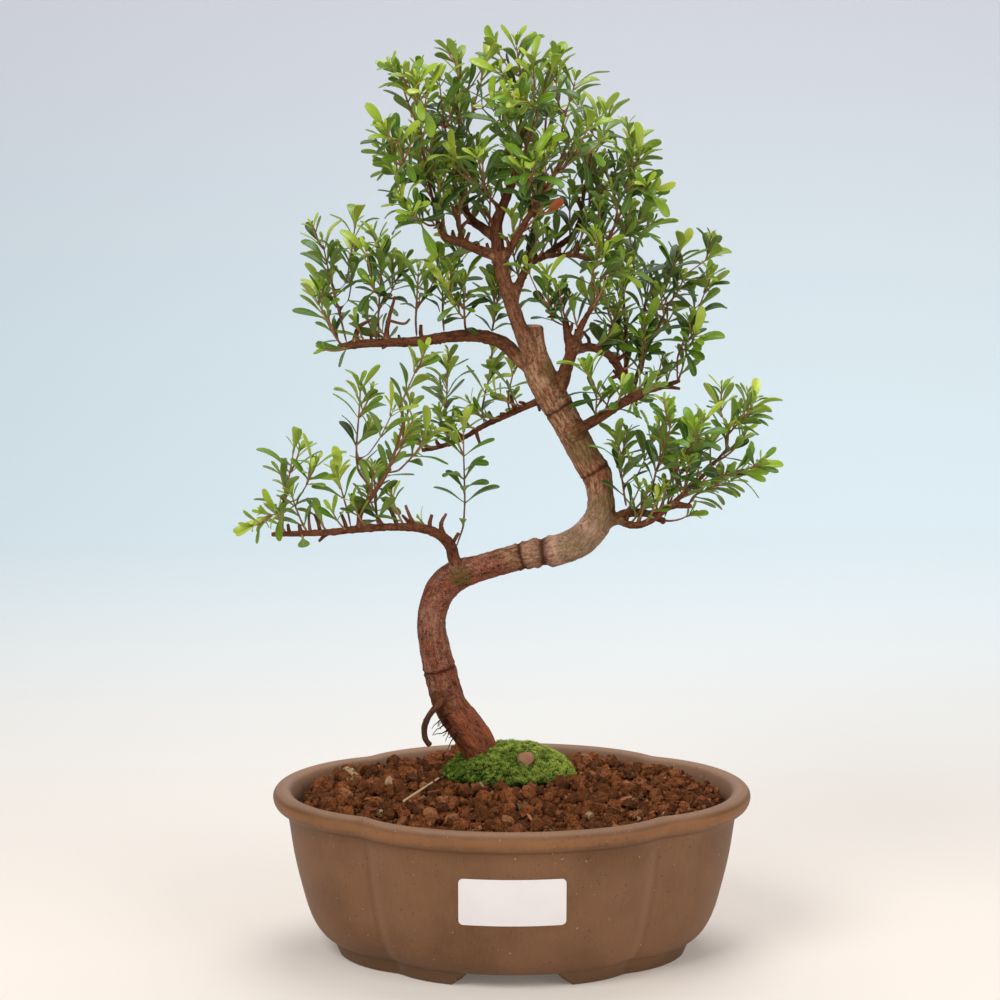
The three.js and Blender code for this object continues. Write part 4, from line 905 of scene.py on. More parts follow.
def tubes_of_wood():
    """The limbs as tubes: the stout parts in one mesh and their slim ends in another."""
    stout = bmesh.new()
    slim = bmesh.new()
    for name, samples in limb_samples.items():
        turn = next((i for i, sample in enumerate(samples) if sample.radius < SLIM_RADIUS * MM), len(samples))
        add_limb(stout, samples[:turn + 1], TRUNK_SIDES if name == "trunk" else BRANCH_SIDES)
        if turn < len(samples) - 2:
            add_limb(slim, samples[max(turn - 2, 0):], SLIM_SIDES)
    for points in dead_stubs():
        add_tube(slim, points, [radius * MM for radius in STUB_RADII], STUB_SIDES)
    return shape_to_mesh(stout, "stout"), shape_to_mesh(slim, "slim")


limb_samples = {name: sample_limb(rows) for name, rows in LIMBS.items()}
stout_tubes, slim_tubes = tubes_of_wood()
print("stout tubes:", len(stout_tubes.polygons), "faces; slim tubes:", len(slim_tubes.polygons), "faces")

# %% [markdown]
# The bark has three kinds of relief: long shallow ridges along the limb, small flakes, and the rings
# that training wire once bit into it, which healed with swollen lips. Each ring has its distance from the
# root, its strength and half its width. All three are pushed into the mesh along its normals, so they
# show in the outline too and not only in the shading.

# %% Bark in relief
WOOD_VOXEL = 0.6
WIRE_SCARS = ((59.5, 0.6, 0.7), (133, 0.7, 0.9), (142, 1.3, 1.8), (190, 0.5, 0.8), (220, 0.4, 0.8))
SCAR_GROOVE = 0.55
SCAR_LIPS = 0.42
# The lips lie this many half widths from the middle of a ring, and fall away this sharply
LIP_PLACE = 1.7
LIP_SHARPNESS = 1.6
LIP_STAIN = 0.2
GRAIN_SQUEEZE = 0.3
RIDGE_SCALE = 0.55
RIDGE_DEPTH = 0.3
FLAKE_SCALE = 1.5
FLAKE_DEPTH = 0.26
FINE_SCALE = 0.9
FINE_DEPTH = 0.1
# Limbs of this radius and more have the full relief
FULL_GIRTH = 6
KNOT_SCALE = 0.4
KNOT_SWELL = 0.5
# The bark is coloured by the girth of a limb, so the girth is raised over a limb's first millimetres,
# where it should look like the stem that it grows from
ROOT_BLEND = 10
ROOT_SWELL = 3.2
CUT_REACH = 1.25
sample_tree = kdtree.KDTree(sum(len(samples) for samples in limb_samples.values()))
all_samples = [(name, sample) for name, samples in limb_samples.items() for sample in samples]
for index, (_, sample) in enumerate(all_samples):
    sample_tree.insert(sample.point, index)
sample_tree.balance()


def limb_under(place):
    """The limb whose surface is nearest to a place, and the sample there."""
    candidates = [(abs(gap - all_samples[i][1].radius), i) for _, i, gap in sample_tree.find_n(place, 9)]
    return all_samples[min(candidates)[1]]


def grain_at(place, sample):
    """Millimetres round the limb and squeezed along it, so that noise in them is drawn out lengthwise."""
    offset = place - sample.point
    round_x = offset.dot(sample.side) / MM
    round_y = offset.dot(sample.front) / MM
    along = (sample.distance + offset.dot(sample.ahead)) / MM
    return Vector((round_x, round_y, along * GRAIN_SQUEEZE)), along


def scar_shape(along, wobble):
    """Depth of the wire scars in millimetres, and how scarred the bark is from 0 to 1."""
    depth = 0
    scarred = 0
    for scar, strength, half_width in WIRE_SCARS:
        offset = (along - scar + wobble) / half_width
        groove = math.exp(-offset * offset)
        lips = math.exp(-((abs(offset) - LIP_PLACE) ** 2) * LIP_SHARPNESS)
        depth += strength * (SCAR_LIPS * lips - SCAR_GROOVE * groove)
        scarred = max(scarred, groove + LIP_STAIN * lips * strength)
    return depth, min(scarred, 1)


def carve_bark(bm):
    """Pushes the relief into the wood and marks its grain, girth, scars and cuts for the finish."""
    grain_layer = bm.verts.layers.float_vector.new("grain")
    girth_layer = bm.verts.layers.float.new("girth")
    scar_layer = bm.verts.layers.float.new("scar")
    cut_layer = bm.verts.layers.float.new("cut")
    moves = []
    for corner in bm.verts:
        name, sample = limb_under(corner.co)
        grain, along = grain_at(corner.co, sample)
        girth = sample.radius / MM
        ridges = noise.noise(grain * RIDGE_SCALE)
        flakes = noise.fractal(grain * FLAKE_SCALE, 0.9, 2.1, 4)
        fine = noise.noise(grain * FINE_SCALE)
        depth = min(girth / FULL_GIRTH, 1) * (RIDGE_DEPTH * ridges + FLAKE_DEPTH * flakes) + FINE_DEPTH * fine
        if name == "trunk":
            scar, corner[scar_layer] = scar_shape(along, 0.5 * ridges)
            depth += scar
        elif SLIM_RADIUS < girth < 3:
            knots = noise.noise(Vector((0, 0, along * KNOT_SCALE + girth)))
            depth += 0.1 + KNOT_SWELL * max(0, knots)
        end = limb_samples[name][-1]
        if name in CUT_ENDS and (corner.co - end.point).length < end.radius * CUT_REACH:
            corner[cut_layer] = clamp(corner.normal.dot(end.ahead) * 4 - 2.6)
            depth *= 1 - corner[cut_layer]
        near_root = max(0, 1 - sample.distance / (ROOT_BLEND * MM))
        corner[grain_layer] = grain * MM
        corner[girth_layer] = girth + (ROOT_SWELL * near_root if girth > 1.1 else 0)
        moves.append((corner, corner.normal * depth * MM))
    for corner, move in moves:
        corner.co += move


def build_wood():
    remesh = ("REMESH", {"mode": "VOXEL", "voxel_size": WOOD_VOXEL * MM})
    bm = bmesh.new()
    bm.from_mesh(finished_mesh(stout_tubes, [remesh]))
    for _ in range(3):
        relax(bm)
    bm.from_mesh(slim_tubes)
    bm.normal_update()
    carve_bark(bm)
    return shape_to_mesh(bm, "wood")


wood_mesh = build_wood()
print("wood:", len(wood_mesh.vertices), "corners")

# %% [markdown]
# The bark's colours change from place to place. The lower trunk is a warm red-brown with pale mottles and
# rusty, pitted bark at its foot. The trunk above the bend is a paler brown, bleached on one side, and
# splits into flakes. Green algae sits in a few damp spots, thin branches stay dark brown, and the
# slimmest twigs are tan. Most masks follow the grain, so the patches are drawn out along each limb, as
# flaking bark is. A Voronoi texture gives the edges of the flakes, and the fissures between them are
# darkened, partly as painted shade in the cracks. A pale spot is left where a branch was once cut off
# flush, and the hooked air root is darker. The collar above the moss is darker too, partly dark bark and
# partly painted shade where the trunk meets the moss.

# %% Bark
ALGAE_SPOTS = (
    (42, -8, 184, 17), (30, -9, 214, 12), (26, -8, 171, 12), (17, -7, 243, 9), (-21, -6, 158, 7),
)
BLEACHED_SPOT = (25, -11, 174)
OLD_CUT_SPOT = (12.2, -6.2, 238.6)
AIR_ROOT_SPOT = (-35, -4, 94)


def bark():
    recipe = Recipe("bark", Specular_IOR_Level=0.12)
    place = recipe.place()
    grain = recipe.attribute("grain", "Vector")
    girth = recipe.attribute("girth")
    scar = recipe.attribute("scar")
    height = recipe.height(place)
    patches = recipe.noise(grain, 4.5 * MM, 4, 0.65)
    flakes = recipe.noise(grain, 1.3 * MM, 4, 0.75)
    fibres = recipe.noise(grain, 0.5 * MM, 3, 0.7)
    mottles = recipe.noise(place, 1.2 * MM, 4, 0.8)
    thick = recipe.step(girth, 2.4, 4.6)
    base = 1 - recipe.step(height + patches * 14, 96, 118)
    upper = recipe.step(height + recipe.axis(place, "X") * (0.6 / MM), 160, 170)
    pale = recipe.step(patches + mottles * 0.9, 0.86, 1.2) * (1 - base * 0.8)
    flecks = recipe.step(recipe.noise(place, 0.4 * MM, 2), 0.6, 0.7)
    lower_bark = recipe.coats(
        recipe.mix(recipe.step(flakes, 0.34, 0.64), srgb(58, 26, 17), srgb(134, 74, 50)),
        (pale * 0.5, 180, 134, 112),
        (flecks * 0.6, 210, 178, 156),
    )
    spread = recipe.step(mottles + patches * 0.5, 0.52, 0.84)
    bleached = recipe.near(place, at(*BLEACHED_SPOT), 26 * MM) * spread
    upper_bark = recipe.coats(
        recipe.mix(recipe.step(flakes + mottles * 0.6, 0.6, 1), srgb(102, 62, 40), srgb(184, 142, 108)),
        (recipe.step(patches, 0.5, 0.64) * 0.6, 136, 74, 48),
        (bleached * 0.85, 200, 162, 140),
    )
    rust = base * recipe.step(patches, 0.4, 0.6)
    thick_bark = recipe.coats(recipe.mix(upper, lower_bark, upper_bark), (rust * 0.55, 168, 88, 44))
    twig_bark = recipe.coats(
        recipe.mix(recipe.step(flakes, 0.32, 0.62), srgb(56, 28, 17), srgb(108, 64, 40)),
        (recipe.step(mottles, 0.46, 0.7) * 0.45, 140, 94, 68),
    )
    tan_bark = recipe.mix(mottles, srgb(90, 52, 33), srgb(158, 110, 76))
    slim = 1 - recipe.step(girth, 0.6, 1.15)
    damp = sum(recipe.near(place, at(x, y, z), reach * MM) for x, y, z, reach in ALGAE_SPOTS)
    damp = recipe.step(damp + patches * 0.5, 0.45, 0.9)
    algae = damp * recipe.step(mottles + flakes * 0.4, 0.58, 0.8) * (0.3 + thick * 0.7)
    edges = recipe.node(
        "ShaderNodeTexVoronoi", {"feature": "DISTANCE_TO_EDGE"}, {"Vector": grain, "Scale": 1 / (1.7 * MM)}
    )
    # the fissures are darkened: partly the darker bark inside them, partly painted shade in the cracks
    fissure = (1 - recipe.step(edges + flakes * 0.3, 0.14, 0.3)) * thick * upper * (1 - bleached * 0.7)
    pits = 1 - recipe.step(fibres + mottles * 0.5, 0.5, 0.64)
    # darker collar above the moss: partly dark bark, partly painted shade where the trunk meets the moss
    collar_bark_and_painted_shade = 1 - recipe.step(height + mottles * 5, 77, 84)
    colour = recipe.coats(
        recipe.mix(slim * 0.6, recipe.mix(thick, twig_bark, thick_bark), tan_bark),
        (algae * 0.8, 78, 78, 30),
        (recipe.near(place, at(*OLD_CUT_SPOT), 3.4 * MM) * 0.7, 192, 152, 118),
        # partly painted shade in the fissures
        (fissure * 0.35, 66, 42, 28),
        (scar * 0.95, 66, 26, 15),
        (pits * (0.4 + base * 0.4), 50, 26, 18),
        # partly painted shade at the foot of the trunk
        (collar_bark_and_painted_shade * thick * 0.6, 48, 30, 20),
        (recipe.near(place, at(*AIR_ROOT_SPOT), 11 * MM) * 0.6, 44, 30, 27),
        (recipe.attribute("cut"), 190, 156, 118),
    )
    relief = fibres * 0.5 + flakes + mottles * 0.5 - fissure * 0.5
    return recipe.surface(colour, 0.6 + flakes * 0.3, relief, 0.45 * MM, 0.95)


make_piece("wood", wood_mesh, [bark()], ["trunk"])

# %% [markdown]
# ## Soil
# Bonsai soil is baked clay in grains of 3 to 6 mm, mounded a little round the trunk. The solid already
# has the mound, so it stays as the ground between the grains, darkened with painted shade. The grains
# are copies of a few lumpy balls. Each keeps a tone of its own in an attribute, which gives a mixed soil
# with a single material.

# %% Shapes of grains
GRAIN_KINDS = 8


def lumpy_ball(seed, segments, rings):
    """A small uneven lump about 1 mm in radius, flatter for the first seeds."""
    bm = bmesh.new()
    bmesh.ops.create_uvsphere(bm, u_segments=segments, v_segments=rings, radius=MM)
    offset = Vector((seed * 7.3, seed * 1.9, 0))
    for corner in bm.verts:
        swell = noise.noise(corner.co / MM * 0.9 + offset)
        dent = noise.noise(corner.co / MM * 2.1 + offset)
        corner.co *= 1 + 0.7 * swell + 0.55 * dent
        corner.co.z *= 0.66 + 0.05 * seed
    return shape_to_mesh(bm, "grain_shape")


grain_shapes = [lumpy_ball(seed, 8, 5) for seed in range(GRAIN_KINDS)]
crumb_shapes = [lumpy_ball(seed, 6, 4) for seed in range(GRAIN_KINDS)]
print("a grain has", len(grain_shapes[0].polygons), "faces")

# %% [markdown]
# The grains stand on a grid of offset rows with every place jittered, so none are missing and none line
# up. A ray dropped on the solid gives the height of the ground. A second, looser layer of bigger grains
# lies on the first, and small crumbs lie on both. No grain may poke through the pot's wall or the moss.

# %% Scatter the grains
MOSS_CENTRE = (-2.5, 9)
MOSS_HALF_WIDTH = 27
MOSS_HALF_DEPTH = 17
SOIL_SHARE = 0.872
# Each layer has its spacing, smallest and largest radius, share of places used, lift and shapes
GRAIN_LAYERS = (
    (3.3, 1.3, 2.2, 1, 0.1, grain_shapes),
    (4.4, 1.4, 3.4, 0.62, 0.8, grain_shapes),
    (3.3, 0.6, 1.2, 0.6, 2.6, crumb_shapes),
)
RAY_START = 100
# Rows of a triangular grid are closer than the places in a row, by this share
ROW_SHARE = 0.866


def tree_of(node):
    bm = merged_copy(node)
    tree = BVHTree.FromBMesh(bm)
    bm.free()
    return tree


def inside_soil(x, y, margin):
    place = at(x, y, 0)
    degrees = outline_degrees(place)
    wall = outline(degrees, SOIL_SHARE, 0)
    middle = at(0, 0, 0)
    return (place - middle).length < (wall - middle).length - margin * MM


def under_moss(x, y, share):
    across = (x - MOSS_CENTRE[0]) / (MOSS_HALF_WIDTH * share)
    away = (y - MOSS_CENTRE[1]) / (MOSS_HALF_DEPTH * share)
    return math.hypot(across, away) < 1


def grid_places(spacing, jitter, chance):
    """Offset rows of jittered places over the whole pot."""
    rows = int(2 * RIM_HALF_DEPTH / (spacing * ROW_SHARE)) + 1
    columns = int(2 * RIM_HALF_WIDTH / spacing) + 1
    for row in range(rows):
        for column in range(columns):
            x = (column + 0.5 * (row % 2)) * spacing - RIM_HALF_WIDTH + chance.uniform(-jitter, jitter)
            y = row * spacing * ROW_SHARE - RIM_HALF_DEPTH + chance.uniform(-jitter, jitter)
            yield x, y


def drop(tree, x, y):
    """Where a ray dropped on a surface meets it."""
    return tree.ray_cast(at(x, y, RAY_START), Vector((0, 0, -1)))[0]


def scatter_grains():
    chance = random.Random(11)
    ground = tree_of("soil")
    bm = bmesh.new()
    bm.verts.layers.float.new("tone")
    for spacing, small, large, share, lift, shapes in GRAIN_LAYERS:
        for x, y in grid_places(spacing, spacing * 0.3, chance):
            size = chance.uniform(small, large)
            if chance.random() > share or not inside_soil(x, y, size * 0.6) or under_moss(x, y, 0.97):
                continue
            tumble = Matrix.Rotation(chance.uniform(0, math.tau), 4, "X")
            move = Matrix.Translation(drop(ground, x, y) + Vector((0, 0, size * lift * MM)))
            matrix = move @ twirled(chance, size, size) @ tumble
            plant(bm, chance.choice(shapes), matrix, tone=chance.random())
    return shape_to_mesh(bm, "grains")


def soil_finish(name, painted_shade):
    recipe = Recipe(name, Specular_IOR_Level=0.12)
    place = recipe.place()
    tone = recipe.attribute("tone")
    damp = recipe.noise(place, 30 * MM, 2)
    crumbs = recipe.noise(place, 1.2 * MM, 4, 0.75)
    glints = recipe.noise(place, 0.5 * MM, 2)
    colour = recipe.coats(
        recipe.mix(recipe.step(tone, 0, 0.95), srgb(84, 47, 23), srgb(148, 86, 47)),
        (recipe.step(damp, 0.4, 0.7) * 0.45, 112, 62, 30),
        (recipe.step(tone, 0.9, 0.93) * 0.8, 172, 114, 76),
        (recipe.step(tone, 0.965, 0.97) * 0.8, 96, 80, 44),
        (recipe.step(tone, 0.985, 0.99) * 0.85, 186, 154, 118),
        ((1 - recipe.step(crumbs, 0.34, 0.56)) * 0.75, 44, 22, 11),
        # painted highlights: pale glints on the grains and the ground
        (recipe.step(glints + crumbs * 0.3, 0.78, 0.88) * 0.5, 196, 160, 124),
        # painted shade: darkens the ground between the grains
        (painted_shade, 38, 22, 13),
    )
    return recipe.surface(colour, 0.85 + crumbs * 0.15, crumbs + glints * 0.4, 0.9 * MM, 1)


grains_mesh = scatter_grains()
make_piece("soil_grains", grains_mesh, [soil_finish("baked_clay_grains", 0)], sharp_degrees=44)
# the ground between the grains is darkened with painted shade
frame["nodes"]["soil"].data.materials[0] = soil_finish("ground_between_grains", 0.7)

# %% [markdown]
# A few other things have fallen on the soil: a pale straw, splinters of bark and bits of dry leaf. The
# straw is a thin straight tube: it is lowered until it just touches the highest grain below it. A
# splinter is a cube that is stretched flat and has its edges bevelled.

# %% Straw and bark splinters
STRAW_ENDS = ((-44.3, -32.3), (-30.7, 5.3))
STRAW_RADIUS = 0.45
STRAW_STEPS = 8
SPLINTERS = 46
SPLINTER_SIZE = (5.2, 1.5, 0.5)
SPLINTER_ROUNDING = 0.18


def top_of_soil(grains, ground, x, y):
    """The highest grain at a spot, or the ground between the grains."""
    return drop(grains, x, y) or drop(ground, x, y)


def straight_over(grains, ground, first, last):
    """Points of a straight stick that just lies on the grains, from above one spot to above another."""
    spots = []
    for step in range(STRAW_STEPS + 1):
        share = step / STRAW_STEPS
        x = first[0] + (last[0] - first[0]) * share
        y = first[1] + (last[1] - first[1]) * share
        spots.append(top_of_soil(grains, ground, x, y))
    line = [spots[0].lerp(spots[-1], step / STRAW_STEPS) for step in range(STRAW_STEPS + 1)]
    lift = max(spot.z - place.z for spot, place in zip(spots, line)) + STRAW_RADIUS * MM
    return [place + Vector((0, 0, lift)) for place in line]


def splinter_shape():
    bm = bmesh.new()
    bmesh.ops.create_cube(bm, size=MM)
    bmesh.ops.scale(bm, verts=bm.verts, vec=SPLINTER_SIZE)
    bevel(bm, bm.edges[:], SPLINTER_ROUNDING * MM, 2)
    bmesh.ops.subdivide_edges(bm, edges=[edge for edge in bm.edges if edge.calc_length() > 2 * MM], cuts=3)
    for corner in bm.verts:
        narrowing = 1 - 0.5 * (corner.co.x / (SPLINTER_SIZE[0] / 2 * MM)) ** 2
        corner.co.y = corner.co.y * narrowing + 0.5 * MM * noise.noise(corner.co / MM)
        corner.co.z += 0.8 * MM * noise.noise(Vector((corner.co.x / MM * 0.4, 3.7, 0)))
    return shape_to_mesh(bm, "splinter")


def litter():
    chance = random.Random(23)
    grains = tree_of_mesh(grains_mesh)
    ground = tree_of("soil")
    straw_line = straight_over(grains, ground, *STRAW_ENDS)
    bm = tube(straw_line, [STRAW_RADIUS * MM] * len(straw_line), 6)
    tone = bm.verts.layers.float.new("tone")
    for corner in bm.verts:
        corner[tone] = 1
    splinter = splinter_shape()
    placed = 0
    while placed < SPLINTERS:
        x = chance.uniform(-RIM_HALF_WIDTH, RIM_HALF_WIDTH)
        y = chance.uniform(-RIM_HALF_DEPTH, RIM_HALF_DEPTH)
        if not inside_soil(x, y, 4) or under_moss(x, y, 1.1):
            continue
        roll = Matrix.Rotation(chance.uniform(-0.5, 0.5), 4, "X")
        lean = Matrix.Rotation(chance.uniform(-0.4, 0.4), 4, "Y")
        move = Matrix.Translation(top_of_soil(grains, ground, x, y) + Vector((0, 0, 0.2 * MM)))
        plant(bm, splinter, move @ twirled(chance, 0.5, 1.4) @ roll @ lean, tone=chance.uniform(0, 0.75))
        placed += 1
    return shape_to_mesh(bm, "litter")


def dry_bits():
    recipe = Recipe("straw_and_splinters", Specular_IOR_Level=0.1)
    tone = recipe.attribute("tone")
    fibres = recipe.noise(recipe.stretched(recipe.place(), (0.4, 1, 1)), 0.7 * MM, 3)
    colour = recipe.coats(
        recipe.mix(recipe.step(tone, 0, 0.8), srgb(116, 60, 36), srgb(188, 122, 86)),
        (recipe.step(tone, 0.8, 0.95), 226, 192, 150),
        (fibres * 0.35, 70, 42, 30),
    )
    return recipe.surface(colour, 0.6 + fibres * 0.25, fibres, 0.2 * MM, 0.7)


make_piece("straw_and_splinters", litter(), [dry_bits()], sharp_degrees=50)

# %% [markdown]
# ## Moss and pebble
# Cushion moss is a dense crowd of upright shoots, each a star of tiny leaves, a millimetre or two
# across. The solid gives the cushion's mound. It is subdivided, made lumpy and painted dark as painted
# shade, and thousands of stars are planted on it by chance, leaning out along its normals. Their feet
# are painted dark as the shade deep in the cushion and their tips are lighter, which is what makes real
# moss look soft.

# %% Build the moss
MOSS_STARS = 4700
STAR_LEAVES = 6
STAR_SPREADS = (0.75, 0.25)
STAR_SIZES = (1, 2.1)
MOSS_LUMPS = 0.9


def star_of_moss():
    """A shoot of moss about 1 mm high: slim three-sided leaves that spread from one foot."""
    bm = bmesh.new()
    for index in range(STAR_LEAVES):
        spread = Matrix.Rotation(STAR_SPREADS[index % 2], 4, "Y")
        lean = Matrix.Rotation(math.tau * index / STAR_LEAVES, 4, "Z") @ spread
        rise = Matrix.Translation((0, 0, 0.5 * MM))
        bmesh.ops.create_cone(
            bm, cap_ends=True, segments=3, radius1=0.15 * MM, radius2=0, depth=MM, matrix=lean @ rise
        )
    # the tip mark is 0 at the foot, which is painted dark as the shade deep in the cushion
    tip = bm.verts.layers.float.new("tip")
    for corner in bm.verts:
        corner[tip] = clamp(corner.co.length / MM)
    return shape_to_mesh(bm, "star")


def moss_ground():
    """The mound of the moss, rounder and lumpier than its solid."""
    bm = merged_copy("moss")
    bmesh.ops.subdivide_edges(bm, edges=bm.edges[:], cuts=2, use_grid_fill=True, smooth=0.6)
    relax(bm)
    bm.normal_update()
    floor = min(corner.co.z for corner in bm.verts)
    for corner in bm.verts:
        if corner.co.z > floor + 0.5 * MM:
            corner.co += corner.normal * MOSS_LUMPS * MM * noise.noise(corner.co / MM * 0.35)
    return bm


def scatter_on(faces, count, chance):
    """Random places on faces, more of them on bigger faces, with the normal there."""
    weights = [face.calc_area() for face in faces]
    for face in chance.choices(faces, weights, k=count):
        corners = [corner.co for corner in face.verts]
        shares = [chance.expovariate(1) for _ in corners]
        total = sum(shares)
        yield sum((co * share / total for co, share in zip(corners, shares)), Vector()), face.normal.copy()


def build_moss():
    chance = random.Random(5)
    star = star_of_moss()
    bm = moss_ground()
    # the mound keeps a tip mark of 0, so it is painted dark as painted shade
    bm.verts.layers.float.new("tip")
    bm.verts.layers.float.new("tone")
    upper = [face for face in bm.faces if face.normal.z > 0.05]
    places = list(scatter_on(upper, MOSS_STARS, chance))
    for place, normal in places:
        lean = (normal + Vector((0, 0, 0.7))).normalized()
        turn = lean.to_track_quat("Z", "Y").to_matrix().to_4x4()
        matrix = Matrix.Translation(place) @ turn @ twirled(chance, *STAR_SIZES)
        toward_right = (place.x - POT_MIDDLE) / MM / MOSS_HALF_WIDTH
        patch = 0.5 + noise.noise(place / MM * 0.18) * 0.3 + 0.3 * toward_right
        plant(bm, star, matrix, tone=patch + chance.uniform(-0.35, 0.35))
    return shape_to_mesh(bm, "moss")


def moss_green():
    recipe = Recipe("moss_green", Specular_IOR_Level=0.12)
    tip = recipe.attribute("tip")
    tone = recipe.attribute("tone")
    place = recipe.place()
    mottle = recipe.noise(place, 4 * MM, 3)
    fresh = recipe.mix(recipe.step(tone + mottle * 0.2, 0.1, 1.15), srgb(64, 98, 8), srgb(200, 218, 96))
    # painted shade: the low edge of the cushion is darker
    low = 1 - recipe.step(recipe.height(place) + mottle * 3, 69.5, 75)
    fresh = recipe.mix(low * 0.45, fresh, srgb(62, 84, 16))
    # painted shade: the feet of the stars and the mound are near black, and the tips are lighter
    colour = recipe.mix(recipe.step(tip, 0.35, 1), srgb(18, 28, 4), fresh)
    fuzz = recipe.noise(place, 0.6 * MM, 3)
    return recipe.surface(colour, 0.6 + mottle * 0.3, fuzz, 0.2 * MM, 0.5)


make_piece("moss_cushion", build_moss(), [moss_green()], ["moss"])

# %% [markdown]
# The pebble on the moss is a broken, worn stone. An icosphere is pressed flat from a dozen sides, given
# shallow dents and stretched over the solid's box, then it is speckled with mineral grains.

# %% Build the pebble
PEBBLE_SIDES = 12
PEBBLE_LEVELS = (0.39, 0.48)
PEBBLE_PRESS = 0.88


def build_pebble():
    chance = random.Random(3)
    low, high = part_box("pebble")
    bm = bmesh.new()
    bmesh.ops.create_icosphere(bm, subdivisions=4, radius=0.54)
    for _ in range(PEBBLE_SIDES):
        toward = Vector((chance.gauss(0, 1), chance.gauss(0, 1), chance.gauss(0, 1))).normalized()
        level = chance.uniform(*PEBBLE_LEVELS)
        for corner in bm.verts:
            corner.co -= toward * PEBBLE_PRESS * max(0, corner.co.dot(toward) - level)
    for corner in bm.verts:
        corner.co *= 1 + 0.05 * noise.noise(corner.co * 4) + 0.03 * noise.noise(corner.co * 10)
    bmesh.ops.scale(bm, verts=bm.verts, vec=high - low)
    bmesh.ops.translate(bm, verts=bm.verts, vec=(low + high) / 2)
    return shape_to_mesh(bm, "pebble")


def pebble_stone():
    recipe = Recipe("pebble_stone", Specular_IOR_Level=0.35)
    place = recipe.place()
    clouds = recipe.noise(place, 3 * MM, 4)
    minerals = recipe.noise(place, 0.5 * MM, 2)
    colour = recipe.mix(clouds, srgb(124, 86, 60), srgb(170, 126, 94))
    colour = recipe.mix(recipe.step(minerals, 0.6, 0.7) * 0.6, colour, srgb(92, 60, 48))
    return recipe.surface(colour, 0.6 + minerals * 0.2, minerals, 0.12 * MM, 0.6)


make_piece("pebble_stone", build_pebble(), [pebble_stone()], ["pebble"])

# %% [markdown]
# ## Rootlets
# The hooked air root on the lower trunk has a tuft of fine dark rootlets beside it. Each is a thin tube
# along a path that wanders down and out from the bark.

# %% Grow the rootlets
ROOTLET_SPOTS = ((-27, 0, 98), (-26.5, 1, 95.5), (-25, 0, 93.5), (-25.5, 2, 97), (-22.5, 1, 90.5))
ROOTLETS_PER_SPOT = 3
ROOTLET_STEPS = (4, 8)
ROOTLET_STEP = (0.8, 1.6)
ROOTLET_RADIUS = 0.38
ROOTLET_TAPER = 0.25


def rootlets():
    chance = random.Random(31)
    bm = bmesh.new()
    for x, y, z in ROOTLET_SPOTS:
        for _ in range(ROOTLETS_PER_SPOT):
            point = at(x, y, z)
            heading = Vector((-0.8, chance.uniform(-0.8, 0), chance.uniform(-1.2, 0))).normalized()
            path = [point.copy()]
            for _ in range(chance.randint(*ROOTLET_STEPS)):
                stray = Vector((chance.uniform(-1, 0.7), chance.uniform(-1, 1), chance.uniform(-1.3, 0.5)))
                heading = (heading + stray * 0.55).normalized()
                point = point + heading * chance.uniform(*ROOTLET_STEP) * MM
                path.append(point)
            last = len(path) - 1
            radii = [(ROOTLET_RADIUS - ROOTLET_TAPER * i / last) * MM for i in range(len(path))]
            add_tube(bm, path, radii, 5)
    return shape_to_mesh(bm, "rootlets")


def root_skin():
    recipe = Recipe("root_skin", Specular_IOR_Level=0.08)
    mottle = recipe.noise(recipe.place(), 1.2 * MM, 3)
    colour = recipe.mix(mottle, srgb(26, 14, 9), srgb(66, 38, 26))
    colour = recipe.mix(recipe.step(mottle, 0.68, 0.74) * 0.6, colour, srgb(190, 176, 160))
    return recipe.surface(colour, 0.6 + mottle * 0.2, mottle, 0.1 * MM, 0.6)


make_piece("rootlets", rootlets(), [root_skin()])

# %% [markdown]
# ## Leaves
# The solids hold every leaf as a plain kite with a thickness, because a fine leaf would cost too many
# faces there. Here each kite is read back: its tip is the only kind of corner with three faces, and
# walking away from it ring by ring gives the leaf's sections down to its foot on the stem. A fine leaf
# is then grown along the same line, so that it hangs exactly where its kite does.

# %% Read the kites of a spray
LEAF_MARKS = ("age", "tone", "under", "dead")
STALK_ROOT = 0.5
KITE_TO_LEAF = 0.76


class LeafPlan:
    """The line, the sides and the width of one leaf, from its foot to its tip."""

    def __init__(self, line, sides, half):
        self.line = line
        self.sides = sides
        self.half = half
        self.lengths = [0]
        for start, stop in zip(line, line[1:]):
            self.lengths.append(self.lengths[-1] + (stop - start).length)

    def stretch(self, share):
        """The stretch of the line that holds a share of its length, and how far along that stretch."""
        goal = share * self.lengths[-1]
        index = next((i for i, length in enumerate(self.lengths[1:]) if length >= goal), len(self.line) - 2)
        span = self.lengths[index + 1] - self.lengths[index]
        return index, (goal - self.lengths[index]) / span

    def frame(self, share):
        index, part = self.stretch(share)
        place = self.line[index].lerp(self.line[index + 1], part)
        heading = (self.line[index + 1] - self.line[index]).normalized()
        side = self.sides[0].lerp(self.sides[-1], share)
        side = (side - heading * side.dot(heading)).normalized()
        return place, side, side.cross(heading)


def ring_of_kite(ring):
    """The left, right and under corners of a section: the two edges are the furthest apart."""
    first, second, third = ring
    pairs = ((first, second, third), (second, third, first), (third, first, second))
    return max(pairs, key=lambda trio: (trio[0].co - trio[1].co).length)


